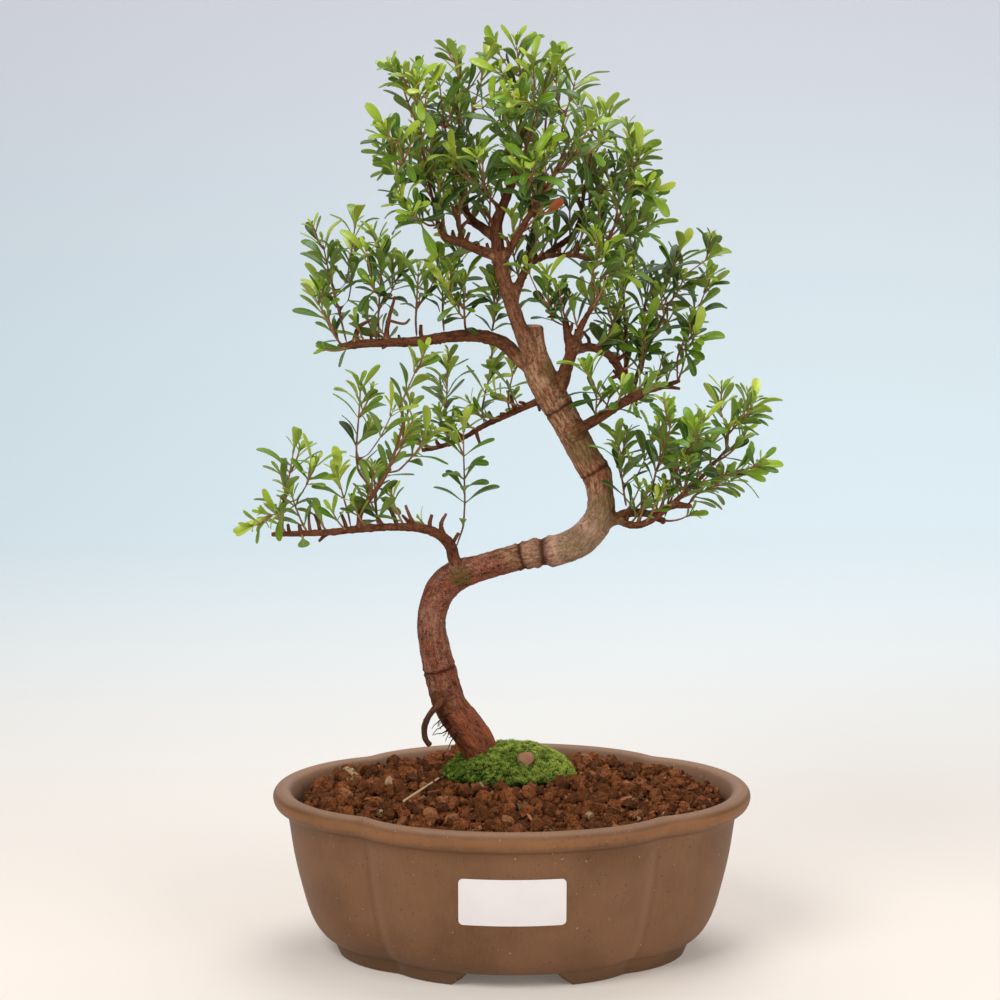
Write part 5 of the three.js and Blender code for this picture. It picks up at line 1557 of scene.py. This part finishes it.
def plan_of_kite(tip, rings, foot_corners):
    foot = sum((corner.co for corner in foot_corners), Vector()) / len(foot_corners)
    middles = []
    sides = []
    half = 0
    for ring in reversed(rings):
        left, right, under = ring_of_kite(ring)
        middle = (left.co + right.co) / 2
        side = (right.co - left.co).normalized()
        heading = (middle - (middles[-1] if middles else foot)).normalized()
        if side.cross(heading).dot(middle - under.co) < 0:
            side = -side
        middles.append(middle)
        sides.append(side)
        half = max(half, (right.co - left.co).length / 2)
    start = foot - (middles[0] - foot).normalized() * STALK_ROOT * MM
    line = curve_through([start, *middles, tip.co.copy()], 4)
    return LeafPlan(line, sides, half * KITE_TO_LEAF)


def read_kites(bm):
    """The plans of all the leaves of a spray, and the corners that they are made of."""
    plans = []
    corners = []
    for tip in [corner for corner in bm.verts if len(corner.link_faces) == 3]:
        ring = [edge.other_vert(tip) for edge in tip.link_edges]
        seen = set(tip.link_faces)
        rings = []
        while len(ring) == 3:
            rings.append(ring)
            band = {face for corner in ring for face in corner.link_faces} - seen
            seen |= band
            ring = list({corner for face in band for corner in face.verts} - set(ring))
        plans.append(plan_of_kite(tip, rings, ring))
        corners += [tip, *(corner for each in rings for corner in each)]
    return plans, corners


# %% [markdown]
# A fine leaf starts as a grid. Its rows are laid along the leaf's line and its columns across it. The
# outline is narrow at the stalk, widest beyond the middle and round at the tip, and the blade is folded a
# little along its midrib. Solidify gives it two faces. The UV map keeps across and along, for the veins.

# %% Grow a fine leaf
LEAF_ROWS = (0, 0.07, 0.14, 0.22, 0.34, 0.48, 0.61, 0.73, 0.84, 0.92, 0.972, 1)
SMALL_ROWS = (0, 0.08, 0.17, 0.32, 0.5, 0.68, 0.83, 0.94, 1)
YOUNG_ROWS = (0, 0.12, 0.3, 0.55, 0.77, 0.93, 1)
STALK_SHARE = 0.12
STALK_HALF = 0.38
BLADE_THICKNESS = 0.34
LEAF_FOLD = (0.1, 0.42)
LEAF_CURL = (-0.1, 0.25)
BASE_POWER = 1.1
TIP_POWER = 0.52
WIDEST = BASE_POWER / (BASE_POWER + TIP_POWER)
FULL_WIDTH = WIDEST**BASE_POWER * (1 - WIDEST) ** TIP_POWER


def blade_half(share, half):
    """Half the leaf's width at a share of its length, in metres."""
    stalk = STALK_HALF * MM * (1 - 0.6 * share)
    if share <= STALK_SHARE:
        return stalk
    blade = (share - STALK_SHARE) / (1 - STALK_SHARE)
    if blade >= 1:
        return 0
    width = half * blade**BASE_POWER * (1 - blade) ** TIP_POWER / FULL_WIDTH
    return max(width, min(stalk, half * (1 - blade)))


def fine_leaf(plan, marks, chance, rows=LEAF_ROWS, columns=4):
    bm = bmesh.new()
    uv = bm.loops.layers.uv.new(UV_NAME)
    layers = {name: bm.verts.layers.float.new(name) for name in LEAF_MARKS}
    bmesh.ops.create_grid(bm, x_segments=columns, y_segments=len(rows) - 1, size=1)
    share_of = {}
    for corner in bm.verts:
        row = round((corner.co.y + 1) / 2 * (len(rows) - 1))
        share_of[corner] = rows[row]
    for face in bm.faces:
        for loop in face.loops:
            loop[uv].uv = (loop.vert.co.x / 2 + 0.5, share_of[loop.vert])
    fold = chance.uniform(*LEAF_FOLD)
    curl = chance.uniform(*LEAF_CURL)
    for corner in bm.verts:
        across = corner.co.x
        share = share_of[corner]
        place, side, up = plan.frame(share)
        half = blade_half(share, plan.half)
        rise = half * (fold * abs(across) - curl * across**2)
        corner.co = place + side * across * half + up * rise
    bmesh.ops.remove_doubles(bm, verts=bm.verts, dist=0.002 * MM)
    upper = set(bm.verts)
    bmesh.ops.solidify(bm, geom=bm.faces[:], thickness=min(BLADE_THICKNESS, plan.half / MM * 0.2) * MM)
    for corner in bm.verts:
        for name, value in marks.items():
            corner[layers[name]] = value
        corner[layers["under"]] = 0 if corner in upper else 1
    return shape_to_mesh(bm, "leaf")


print("a leaf is widest at", round(WIDEST, 2), "of its blade")

# %% [markdown]
# Every shoot ends in a bud with two pairs of very young leaves, which the kites leave out. The upper pair
# stands almost upright, and each pair is turned a quarter from the one below, as on the real shrub. A bud
# tip is easy to find in the solid: it is the only corner whose four faces make a sharp point.

# %% Young leaves at the buds
BUD_ANGLE = math.radians(200)
YOUNG_HALF_WIDTH = (0.12, 0.16)
# Each pair has its shortest and longest leaf, its lean and how far it stands below the tip
YOUNG_PAIRS = ((5, 8, 0.62, 1.0), (3, 4.6, 0.32, 0.2))


def bud_tips(bm):
    """The tip of every stem with the direction it points in."""
    tips = []
    for corner in bm.verts:
        if len(corner.link_faces) != 4:
            continue
        angle = sum(loop.calc_angle() for loop in corner.link_loops)
        if angle < BUD_ANGLE:
            around = [edge.other_vert(corner).co for edge in corner.link_edges]
            foot = sum(around, Vector()) / len(around)
            tips.append((corner.co.copy(), (corner.co - foot).normalized()))
    return tips


def leaf_pair(foot, ahead, side, length, lean, chance):
    """Two opposite leaves that lean out from a stem and arch a little further out toward their tips."""
    plans = []
    for outward in (side, -side):
        size = length * chance.uniform(0.88, 1.12) * MM
        tilt = lean * chance.uniform(0.75, 1.25)
        heading = ahead * math.cos(tilt) + outward * math.sin(tilt)
        arched = (heading + outward * chance.uniform(0, 0.6)).normalized()
        middle = foot + heading * size / 2
        line = curve_through([foot, middle, middle + arched * size / 2], 4)
        plans.append(LeafPlan(line, [outward.cross(ahead)], size * chance.uniform(*YOUNG_HALF_WIDTH)))
    return plans


def side_of(ahead, turned):
    """A direction across another one, turned round it by an angle."""
    side = ahead.orthogonal().normalized()
    side.rotate(Matrix.Rotation(turned, 3, ahead))
    return side


def young_leaves(tip, ahead, chance):
    """Plans for the pairs of young leaves round a bud."""
    plans = []
    turned = chance.uniform(0, math.pi)
    for shortest, longest, lean, back in YOUNG_PAIRS:
        foot = tip - ahead * back * MM
        length = chance.uniform(shortest, longest)
        plans += leaf_pair(foot, ahead, side_of(ahead, turned), length, lean, chance)
        turned += math.pi / 2
    return plans


print("young pairs at a bud:", len(YOUNG_PAIRS))

# %% [markdown]
# What is left of a spray without its kites is its stems. The holes where leaves stood are filled, the
# triangles are paired into quads, and a Subdivision Surface rounds the square stems, which are also made
# a little slimmer. The foot of each spray is pushed into the bark that it grows from, since the solids
# keep a small gap there.

# %% Finish the stems of a spray
STEM_LEVELS = 1
STEM_SLIMMING = 0.14
FOOT_DEPTH = 0.7


def anchor_foot(bm, bark_tree):
    """Pushes the four corners nearest to the bark into it."""
    touches = []
    for corner in bm.verts:
        place, _, _, gap = bark_tree.find_nearest(corner.co)
        touches.append((gap, corner.index, corner, place))
    for gap, _, corner, place in sorted(touches, key=lambda touch: touch[:2])[:4]:
        inward = (place - corner.co).normalized()
        corner.co += inward * (gap + FOOT_DEPTH * MM)


def stems_without_leaves(bm, kite_corners, bark_tree):
    bmesh.ops.delete(bm, geom=kite_corners, context="VERTS")
    bmesh.ops.holes_fill(bm, edges=[edge for edge in bm.edges if edge.is_boundary], sides=8)
    bm.verts.index_update()
    bm.normal_update()
    for corner in bm.verts:
        corner.co -= corner.normal * STEM_SLIMMING * MM
    anchor_foot(bm, bark_tree)
    bmesh.ops.join_triangles(
        bm, faces=bm.faces[:], angle_face_threshold=math.radians(40), angle_shape_threshold=math.radians(50)
    )
    bmesh.ops.recalc_face_normals(bm, faces=bm.faces)
    rounding = ("SUBSURF", {"levels": STEM_LEVELS, "render_levels": STEM_LEVELS})
    return finished_mesh(shape_to_mesh(bm, "stems"), [rounding])


print("stems are rounded", STEM_LEVELS, "time")

# %% [markdown]
# The sprays of one part of the tree end up in one piece, so that each piece stays light enough to work
# with. Every solid spray is first taken apart into its finished stems, its buds and the plans of its
# leaves, and the pieces are put together from these later.

# %% Take every spray apart
# Each part has its first and last spray
SPRAYS = {
    "crown_left": (1, 8), "crown_middle": (9, 17), "crown_right": (18, 21), "right_upper": (22, 30),
    "right_lower": (31, 37), "left_lower": (38, 44), "left_middle": (45, 47), "left_upper": (48, 54),
}


class Spray:
    """A solid spray taken apart: its finished stems, its buds and the plans of its leaves."""

    def __init__(self, name):
        self.name = name
        bm = merged_copy(name)
        self.buds = bud_tips(bm)
        self.plans, kite_corners = read_kites(bm)
        self.stems = stems_without_leaves(bm, kite_corners, wood_tree)


wood_tree = tree_of_mesh(wood_mesh)
sprays = {}
for group, (first, last) in SPRAYS.items():
    sprays[group] = [Spray(f"spray_{number:02d}") for number in range(first, last + 1)]
    print(group, "has", sum(len(spray.plans) for spray in sprays[group]), "kites")

# %% [markdown]
# The kites stand for the largest leaves only. The real shrub has smaller ones between them, and short
# side shoots along its stems and slim limbs. A new leaf is kept only where other leaves are near, so that
# the tree keeps its outline, and where it touches none of them. To know this quickly, the places of all
# leaves are sorted into cubic cells, and only the cells round a new leaf are searched.

# %% Room for a new leaf
COMPANY = 10
CLEARANCE = 1.5
WOOD_CLEARANCE = 1.1
BOX_MARGIN = Vector((3.5, 3.5, 6))
LEAF_SAMPLES = (0.45, 0.65, 0.85, 1)


class LeafRoom:
    """Remembers where the leaves are."""

    def __init__(self):
        self.cells = {}

    def cell(self, place):
        return tuple(math.floor(value / (COMPANY * MM)) for value in place)

    def add(self, plan):
        for share in LEAF_SAMPLES:
            place = plan.frame(share)[0]
            self.cells.setdefault(self.cell(place), []).append(place)

    def gap(self, place):
        """The distance to the nearest leaf, or a metre where none is near."""
        nearest = 1
        x, y, z = self.cell(place)
        for i in (x - 1, x, x + 1):
            for j in (y - 1, y, y + 1):
                for k in (z - 1, z, z + 1):
                    for other in self.cells.get((i, j, k), ()):
                        nearest = min(nearest, (place - other).length)
        return nearest

    def fits(self, plan):
        places = [plan.frame(share)[0] for share in LEAF_SAMPLES]
        if not all(inside_box(place) for place in places):
            return False
        gaps = [self.gap(place) for place in places]
        if min(gaps) < CLEARANCE * MM or gaps[-1] > COMPANY * MM:
            return False
        return all(wood_tree.find_nearest(place)[3] > WOOD_CLEARANCE * MM for place in places)


def inside_box(place):
    """True where a place is in the solids' box or just outside it."""
    low = cad_low - BOX_MARGIN * MM
    high = cad_high + BOX_MARGIN * MM
    return all(low[i] < place[i] < high[i] for i in range(3))


room = LeafRoom()
for group in sprays:
    for spray in sprays[group]:
        for plan in spray.plans:
            room.add(plan)
print("cells with leaves:", len(room.cells))

# %% [markdown]
# Leaves of this shrub stand in pairs, and each pair is turned a quarter from the next. So a copy of every
# pair is made half-way to its neighbours, turned a quarter round the stem and made shorter. Side shoots
# are slim tubes that turn upward and bear a few pairs, which get smaller toward the bud.

# %% Smaller leaves between the large ones
PAIR_REACH = 2.2
HALF_WAY = (3.2, 5)
BETWEEN_SIZE = (0.68, 1)
QUARTER_TURN = (72, 108)
SNAP = 1.6


def pairs_of(plans):
    """Leaves whose feet lie together, as pairs."""
    left = list(plans)
    while len(left) > 1:
        plan = left.pop()
        other = min(left, key=lambda candidate: (candidate.line[0] - plan.line[0]).length)
        if (other.line[0] - plan.line[0]).length < PAIR_REACH * MM:
            left.remove(other)
            yield plan, other


def turned_plan(plan, pivot, turn, size, shift):
    line = [pivot + turn @ ((place - pivot) * size) + shift for place in plan.line]
    return LeafPlan(line, [turn @ side for side in plan.sides], plan.half * size)


def between_pair(pair, stem_tree, step, chance):
    """A smaller copy of a pair, some way up or down the stem, as plans whose feet are on the stem."""
    pivot = (pair[0].line[0] + pair[1].line[0]) / 2
    ahead = sum(((plan.frame(0.5)[0] - pivot).normalized() for plan in pair), Vector()).normalized()
    turn = Matrix.Rotation(math.radians(chance.uniform(*QUARTER_TURN)), 3, ahead)
    made = []
    for plan in pair:
        fresh = turned_plan(plan, pivot, turn, chance.uniform(*BETWEEN_SIZE), ahead * step * MM)
        touch, _, _, gap = stem_tree.find_nearest(fresh.line[0])
        if gap < SNAP * MM:
            still = Matrix.Identity(3)
            made.append(turned_plan(fresh, fresh.line[0], still, 1, touch - fresh.line[0]))
    return made, pivot, ahead


SHOOT_STEPS = 5
SHOOT_RISE = 0.16
SHOOT_RADIUS = (0.5, 0.3)
SHOOT_SPACING = 4.2
# Length of the leaves at the foot of a shoot and at its tip
SHOOT_LEAF = (13.5, 7)


class SideShoot:
    """A slim stem with its pairs of leaves, some of which may be dropped for want of room."""

    def __init__(self, root, heading, length, chance):
        points = [root]
        direction = heading.normalized()
        for _ in range(SHOOT_STEPS):
            direction = (direction + Vector((0, 0, SHOOT_RISE))).normalized()
            points.append(points[-1] + direction * length * MM / SHOOT_STEPS)
        self.line = points
        self.plans = []
        turned = chance.uniform(0, math.pi)
        reach = SHOOT_SPACING * chance.uniform(0.6, 1)
        stem = LeafPlan(points, [side_of(heading, 0)], MM)
        while reach < length:
            share = reach / length
            foot, _, _ = stem.frame(share)
            ahead = (stem.frame(min(share + 0.1, 1))[0] - stem.frame(share - 0.1)[0]).normalized()
            size = (SHOOT_LEAF[0] + (SHOOT_LEAF[1] - SHOOT_LEAF[0]) * share) * chance.uniform(0.85, 1.1)
            self.plans += leaf_pair(foot, ahead, side_of(ahead, turned), size, 0.75, chance)
            turned += math.pi / 2
            reach += SHOOT_SPACING * chance.uniform(0.8, 1.2)
        self.tip = points[-1]
        self.ahead = direction

    def stem_mesh(self):
        line = curve_through(self.line, 2)
        first, last = SHOOT_RADIUS
        radii = [(first + (last - first) * i / (len(line) - 1)) * MM for i in range(len(line))]
        return shape_to_mesh(tube(line, radii, 6), "shoot")


def settle(shoot):
    """Keeps the leaves of a shoot that have room. Gives False where too few are left."""
    kept = [plan for plan in shoot.plans if room.fits(plan)]
    if len(kept) < 2 or not inside_box(shoot.tip) or wood_tree.find_nearest(shoot.tip)[3] < 2 * MM:
        return False
    shoot.plans = kept
    for plan in kept:
        room.add(plan)
    return True


print("a side shoot bears leaves every", SHOOT_SPACING, "mm")

# %% [markdown]
# New leaves are tried in three places: on side shoots along the slim limbs, between the kites of each
# spray, and on side shoots in the axils of its leaves. Thick limbs and dead stubs stay bare.

# %% Fill every spray
AXIL_SHOOTS = 0.75
LIMB_SHOOT_STEP = 3
BARE_RADIUS = 2.1
AXIL_SHOOT_LENGTH = (7, 13)
LIMB_SHOOT_LENGTH = (8, 17)
# Above this height the crown is airy and gets only this share of the new leaves and side shoots
AIRY_HEIGHT = 328
AIRY_SHARE = 0.35
# Each part of the tree has its fullness, from 0 to 1, and the limbs that bear its side shoots
FILLING = {
    "crown_left": (0.95, "crown_left", "crown_left_inner", "crown_knob"),
    "crown_middle": (0.95, "leader", "crown_front", "crown_back", "crown_spike"),
    "crown_right": (0.85, "crown_right", "crown_right_low"),
    "right_upper": (0.6, "right_upper", "right_upper_fork", "right_back", "right_riser", "right_inner_riser"),
    "right_lower": (0.9, "right_middle", "right_lower", "right_loop", "right_runner"),
    "left_lower": (0.4, "left_lower", "left_riser"),
    "left_middle": (0.5, "left_middle"),
    "left_upper": (0.7, "left_upper"),
}


def fill_spray(spray, fullness, chance):
    """Smaller leaves and side shoots of one spray, fewer of them at the airy top of the crown."""
    leaves = []
    shoots = []
    stem_tree = tree_of_mesh(spray.stems)
    for pair in list(pairs_of(spray.plans)):
        step = chance.uniform(*HALF_WAY)
        for direction in (step, -step):
            made, pivot, ahead = between_pair(pair, stem_tree, direction, chance)
            share = fullness * (AIRY_SHARE if pivot.z > at(0, 0, AIRY_HEIGHT).z else 1)
            for plan in made:
                if chance.random() < share and room.fits(plan):
                    room.add(plan)
                    leaves.append(plan)
        if chance.random() < AXIL_SHOOTS * share:
            outward = side_of(ahead, chance.uniform(0, math.tau))
            shoot = SideShoot(pivot, ahead + outward * 0.9, chance.uniform(*AXIL_SHOOT_LENGTH), chance)
            if settle(shoot):
                shoots.append(shoot)
    return leaves, shoots


def limb_shoots(limbs, fullness, chance):
    """Side shoots along the slim parts of some limbs."""
    shoots = []
    for name in limbs:
        last = 0
        for sample in limb_samples[name]:
            step = LIMB_SHOOT_STEP / fullness * MM
            if sample.point.z > at(0, 0, AIRY_HEIGHT).z:
                step /= AIRY_SHARE
            if sample.radius > BARE_RADIUS * MM or sample.distance - last < step:
                continue
            last = sample.distance
            outward = side_of(sample.ahead, chance.uniform(0, math.tau))
            heading = sample.ahead + outward * 1.1 + Vector((0, 0, 0.5))
            shoot = SideShoot(sample.point, heading, chance.uniform(*LIMB_SHOOT_LENGTH), chance)
            if settle(shoot):
                shoots.append(shoot)
    return shoots


extra_leaves = {}
extra_shoots = {}
for group in sprays:
    chance = random.Random(group)
    fullness, *limbs = FILLING[group]
    extra_shoots[group] = limb_shoots(limbs, fullness, chance)
    extra_leaves[group] = {}
    for spray in sprays[group]:
        leaves, shoots = fill_spray(spray, fullness, chance)
        extra_leaves[group][spray.name] = leaves
        extra_shoots[group] += shoots
    between = sum(len(leaves) for leaves in extra_leaves[group].values())
    on_shoots = sum(len(shoot.plans) for shoot in extra_shoots[group])
    print(group, "gets", between, "leaves between and", on_shoots, "on side shoots")

# %% [markdown]
# A tree has leaves of every age at once. The oldest are dark green, low on the stems and inside the
# crown. The youngest are yellow-green, at the buds and on the low shoots that get the most light, which
# are painted lighter as painted light. The age of a leaf is worked out from its distance to the nearest
# bud and its height, and the leaves on side shoots are painted darker as painted shade. Two leaves stand
# by themselves on short twigs: a dry orange one in the crown, and a round one that hangs below the lowest
# branch.

# %% Grow the foliage
# painted light and shade: the leaves of these limbs are painted lighter, as if younger, and the leaves on
# side shoots darker
PAINTED_LIGHT_BY_GROUP = {"left_lower": 0.27, "left_middle": 0.25, "left_upper": 0.12, "right_lower": 0.12}
STEM_YOUTH = 22
LEAF_YOUTH = 17
SHOOT_PAINTED_SHADE = 0.25
# Each lone leaf has the line of its twig, its own line, the side it turns, its half width and its dryness
LONE_LEAVES = {
    "crown_middle": (
        ((8.4, -12.2, 309.5), (10.8, -16.2, 308.6), (13, -20.4, 308.4)),
        ((13, -20.4, 308.4), (16.8, -21.6, 311.6), (20.1, -21.4, 314.4)),
        (0.62, 0, -0.78), 1.9, 1,
    ),
    "left_lower": (
        ((-85.5, -18, 178), (-85.3, -19.6, 177.8), (-85, -20.4, 177.2)),
        ((-85, -20.4, 177.2), (-84.7, -21.4, 175.5), (-84.3, -21.8, 173.4)),
        (1, 0, 0), 2.4, 0,
    ),
}


def leaf_age_with_painted_light(foot, buds, painted_light, chance):
    reach = min((foot - tip).length for tip, _ in buds) / MM
    height = clamp((foot.z / MM - 300) / 80)
    # painted light raises the age, so the leaf is painted lighter
    return clamp(clamp(1.02 - reach / LEAF_YOUTH) * 0.8 + painted_light + 0.16 * height + chance.uniform(-0.12, 0.16))


def add_stems(bm, stems, buds):
    """Adds finished stems to a group, marked with how young they are."""
    ages = []
    for corner in stems.vertices:
        reach = min((corner.co - tip).length for tip, _ in buds) / MM
        ages.append(clamp(1 - reach / STEM_YOUTH))
    stems.attributes.new("age", "FLOAT", "POINT").data.foreach_set("value", ages)
    stems.polygons.foreach_set("material_index", [1] * len(stems.polygons))
    absorb(bm, stems)


def add_leaves(bm, plans, buds, painted_light, chance, rows, columns=4):
    for plan in plans:
        add_leaf(bm, plan, leaf_age_with_painted_light(plan.line[0], buds, painted_light, chance), chance, rows, columns)


def add_leaf(bm, plan, age, chance, rows=LEAF_ROWS, columns=4, dead=0):
    marks = {"age": age, "tone": chance.random(), "dead": dead}
    absorb(bm, fine_leaf(plan, marks, chance, rows, columns))


def add_bud(bm, tip, ahead, chance):
    for plan in young_leaves(tip, ahead, chance):
        if inside_box(plan.line[-1]):
            add_leaf(bm, plan, chance.uniform(0.75, 1), chance, YOUNG_ROWS, 2)


def add_lone_leaf(bm, lone_leaf, chance):
    twig_rows, leaf_rows, side, half, dead = lone_leaf
    twig = curve_through([at(*row) for row in twig_rows], 3)
    stem = shape_to_mesh(tube(twig, [SHOOT_RADIUS[0] * MM] * len(twig), 6), "twig")
    add_stems(bm, stem, [(twig[-1], Vector((0, 0, 1)))])
    line = curve_through([at(*row) for row in leaf_rows], 4)
    add_leaf(bm, LeafPlan(line, [Vector(side)], half * MM), 0, chance, dead=dead)


def grow_group(group):
    chance = random.Random(group)
    painted_light = PAINTED_LIGHT_BY_GROUP.get(group, 0)
    whole = bmesh.new()
    for spray in sprays[group]:
        add_stems(whole, spray.stems, spray.buds)
        add_leaves(whole, spray.plans, spray.buds, painted_light, chance, LEAF_ROWS)
        add_leaves(whole, extra_leaves[group][spray.name], spray.buds, painted_light, chance, SMALL_ROWS)
        for tip, ahead in spray.buds:
            add_bud(whole, tip, ahead, chance)
    for shoot in extra_shoots[group]:
        buds = [(shoot.tip, shoot.ahead)]
        add_stems(whole, shoot.stem_mesh(), buds)
        add_leaves(whole, shoot.plans, buds, painted_light - SHOOT_PAINTED_SHADE, chance, SMALL_ROWS, 2)
        add_bud(whole, shoot.tip, shoot.ahead, chance)
    if group in LONE_LEAVES:
        add_lone_leaf(whole, LONE_LEAVES[group], chance)
    return shape_to_mesh(whole, group)


print("lone leaves:", len(LONE_LEAVES))

# %% [markdown]
# The leaf's colours run from dark to yellow-green by its age. The midrib is a thin pale line down the
# middle of the UV map and the side veins are faint slanting waves. The underside is paler and duller.
# The upper side is waxy: low roughness and a thin coat give the small white glints.

# %% Leaf and young stem
def leaf_green():
    recipe = Recipe(
        "leaf_green", Specular_IOR_Level=0.35, Coat_Weight=0.08, Coat_Roughness=0.2,
        Subsurface_Weight=0.08, Subsurface_Radius=(0.6, 1.0, 0.2), Subsurface_Scale=0.6 * MM,
    )
    uv = recipe.uv()
    across = recipe.math("ABSOLUTE", recipe.axis(uv, "X") - 0.5, 0) * 2
    along = recipe.axis(uv, "Y")
    age = recipe.attribute("age")
    tone = recipe.attribute("tone")
    under = recipe.attribute("under")
    mottle = recipe.noise(recipe.place(), 3 * MM, 3)
    old = recipe.mix(tone, srgb(14, 36, 3), srgb(48, 86, 6))
    grown = recipe.mix(tone, srgb(66, 108, 8), srgb(118, 156, 20))
    young = recipe.mix(tone, srgb(146, 178, 30), srgb(194, 204, 70))
    # the age mark also carries the painted light and shade of the leaf's limb
    colour = recipe.mix(recipe.step(age, 0.05, 0.55), old, grown)
    colour = recipe.mix(recipe.step(age, 0.5, 0.95), colour, young)
    midrib = 1 - recipe.step(across, 0.03, 0.1)
    veins = recipe.math("SINE", (along * 60 - across * 16), 0) * 0.5 + 0.5
    stalk = 1 - recipe.step(along, 0.08, 0.2)
    colour = recipe.coats(
        colour,
        (mottle * 0.25, 38, 70, 8),
        (midrib * 0.4, 164, 184, 78),
        (recipe.step(veins, 0.75, 1) * 0.12, 146, 172, 66),
        (under * 0.4, 140, 160, 78),
        (stalk * 0.5, 150, 130, 72),
    )
    dry = recipe.mix(mottle, srgb(112, 52, 20), srgb(190, 96, 40))
    colour = recipe.mix(recipe.attribute("dead"), colour, dry)
    roughness = 0.3 + mottle * 0.14 + under * 0.2
    return recipe.surface(colour, roughness, veins * 0.3 + midrib * -1.0, 0.12 * MM, 0.7)


def young_bark():
    recipe = Recipe("young_bark", Specular_IOR_Level=0.35)
    place = recipe.place()
    age = recipe.attribute("age")
    mottle = recipe.noise(place, 2.2 * MM, 3)
    fibres = recipe.noise(place, 0.5 * MM, 3)
    colour = recipe.mix(recipe.step(mottle, 0.35, 0.65), srgb(86, 46, 29), srgb(134, 84, 57))
    fresh = recipe.mix(recipe.step(mottle, 0.35, 0.65), srgb(138, 104, 62), srgb(172, 120, 86))
    colour = recipe.mix(recipe.step(age, 0.1, 0.9), colour, fresh)
    return recipe.surface(colour, 0.5 + fibres * 0.2, fibres, 0.12 * MM, 0.7)


foliage_materials = [leaf_green(), young_bark()]
for group in sprays:
    nodes = [spray.name for spray in sprays[group]]
    make_piece(f"foliage_{group}", grow_group(group), foliage_materials, nodes, sharp_degrees=60)

# %% [markdown]
# ## Floor, wall and light
# A plant is best seen in soft light from large lamps, in front of something plain and pale. The floor and
# the wall are one sheet: a line is extruded sideways, and its bend is a wide quarter circle, so that no
# edge shows behind the tree. The sheet goes from warm white at the foot to a pale blue higher up, and to
# a faint violet at the top. The wall is painted brighter toward the right, and the sheet glows faintly,
# as painted light.

# %% Set up the floor and wall
FLOOR_FRONT = -2.0
FLOOR_BACK = 0.9
WALL_TOP = 3.2
BEND_RADIUS = 0.8
STAGE_HALF_WIDTH = 3.5


def sweep():
    bm = bmesh.new()
    start = bm.verts.new((-STAGE_HALF_WIDTH, FLOOR_FRONT, 0))
    bend = bm.verts.new((-STAGE_HALF_WIDTH, FLOOR_BACK, 0))
    bm.edges.new((start, bend))
    bmesh.ops.spin(
        bm, geom=[bend], cent=(0, FLOOR_BACK, BEND_RADIUS), axis=(1, 0, 0), angle=math.pi / 2, steps=24,
        dvec=(0, 0, 0),
    )
    top = max(bm.verts, key=lambda corner: corner.co.z)
    raised = bmesh.ops.extrude_vert_indiv(bm, verts=[top])["verts"]
    bmesh.ops.translate(bm, verts=raised, vec=(0, 0, WALL_TOP))
    side = bmesh.ops.extrude_edge_only(bm, edges=bm.edges[:])["geom"]
    corners = [item for item in side if isinstance(item, bmesh.types.BMVert)]
    bmesh.ops.translate(bm, verts=corners, vec=(2 * STAGE_HALF_WIDTH, 0, 0))
    bmesh.ops.remove_doubles(bm, verts=bm.verts, dist=MM)
    face_toward(bm, (0, 0, 1))
    return shape_to_mesh(bm, "sweep")


def pale_backdrop():
    # painted light: the backdrop glows faintly by its emission
    recipe = Recipe("pale_backdrop", Roughness=0.9, Specular_IOR_Level=0.1, Emission_Strength=0.16)
    place = recipe.place()
    distance = recipe.axis(place, "Y") + recipe.axis(place, "Z")
    # painted light: the wall is brighter toward the right
    painted_light_rightward = recipe.step(recipe.axis(place, "X"), -0.7, 0.7)
    wall = recipe.mix(painted_light_rightward, srgb(212, 229, 236), srgb(231, 247, 253))
    colour = recipe.mix(recipe.step(distance, 0, 1.1), srgb(220, 212, 203), wall)
    colour = recipe.mix(recipe.step(distance, 1.2, 2.5), colour, srgb(223, 217, 230))
    return recipe.finish(Base_Color=colour, Emission_Color=colour)


backdrop_mesh = sweep()
backdrop_mesh.materials.append(pale_backdrop())
backdrop_mesh.shade_smooth()
backdrop = new_object("backdrop", backdrop_mesh)
print("backdrop faces:", len(backdrop_mesh.polygons))

# %% [markdown]
# Three large area lamps do the work. The main one stands high in front on the left, a weaker one on the
# right opens up the shadows, and one from behind and above rims the leaves. A pale sky fills the rest.
# The plain "Standard" view keeps the greens as fresh as they are in daylight.

# %% Set up the lamps
LAMPS = (
    ("key", (-700, -900, 1150), 0.9, 14.5),
    ("fill", (900, -800, 650), 1.0, 7.5),
    ("top", (100, 300, 1300), 0.8, 8.5),
)


def area_lamp(name, position, size, power):
    data = bpy.data.lights.new(name, "AREA")
    data.shape = "DISK"
    data.size = size
    data.energy = power
    lamp = new_object(name, data)
    lamp.location = at(*position)
    aim = at(0, 0, 180) - lamp.location
    lamp.rotation_euler = aim.to_track_quat("-Z", "Y").to_euler()


for lamp_settings in LAMPS:
    area_lamp(*lamp_settings)
world = bpy.data.worlds.new("pale_sky")
bpy.context.scene.world = world
world.use_nodes = True
world.node_tree.nodes["Background"].inputs["Color"].default_value = srgb(250, 246, 240)
world.node_tree.nodes["Background"].inputs["Strength"].default_value = 0.26
bpy.context.scene.view_settings.view_transform = "Standard"
print("lamps:", len(LAMPS))
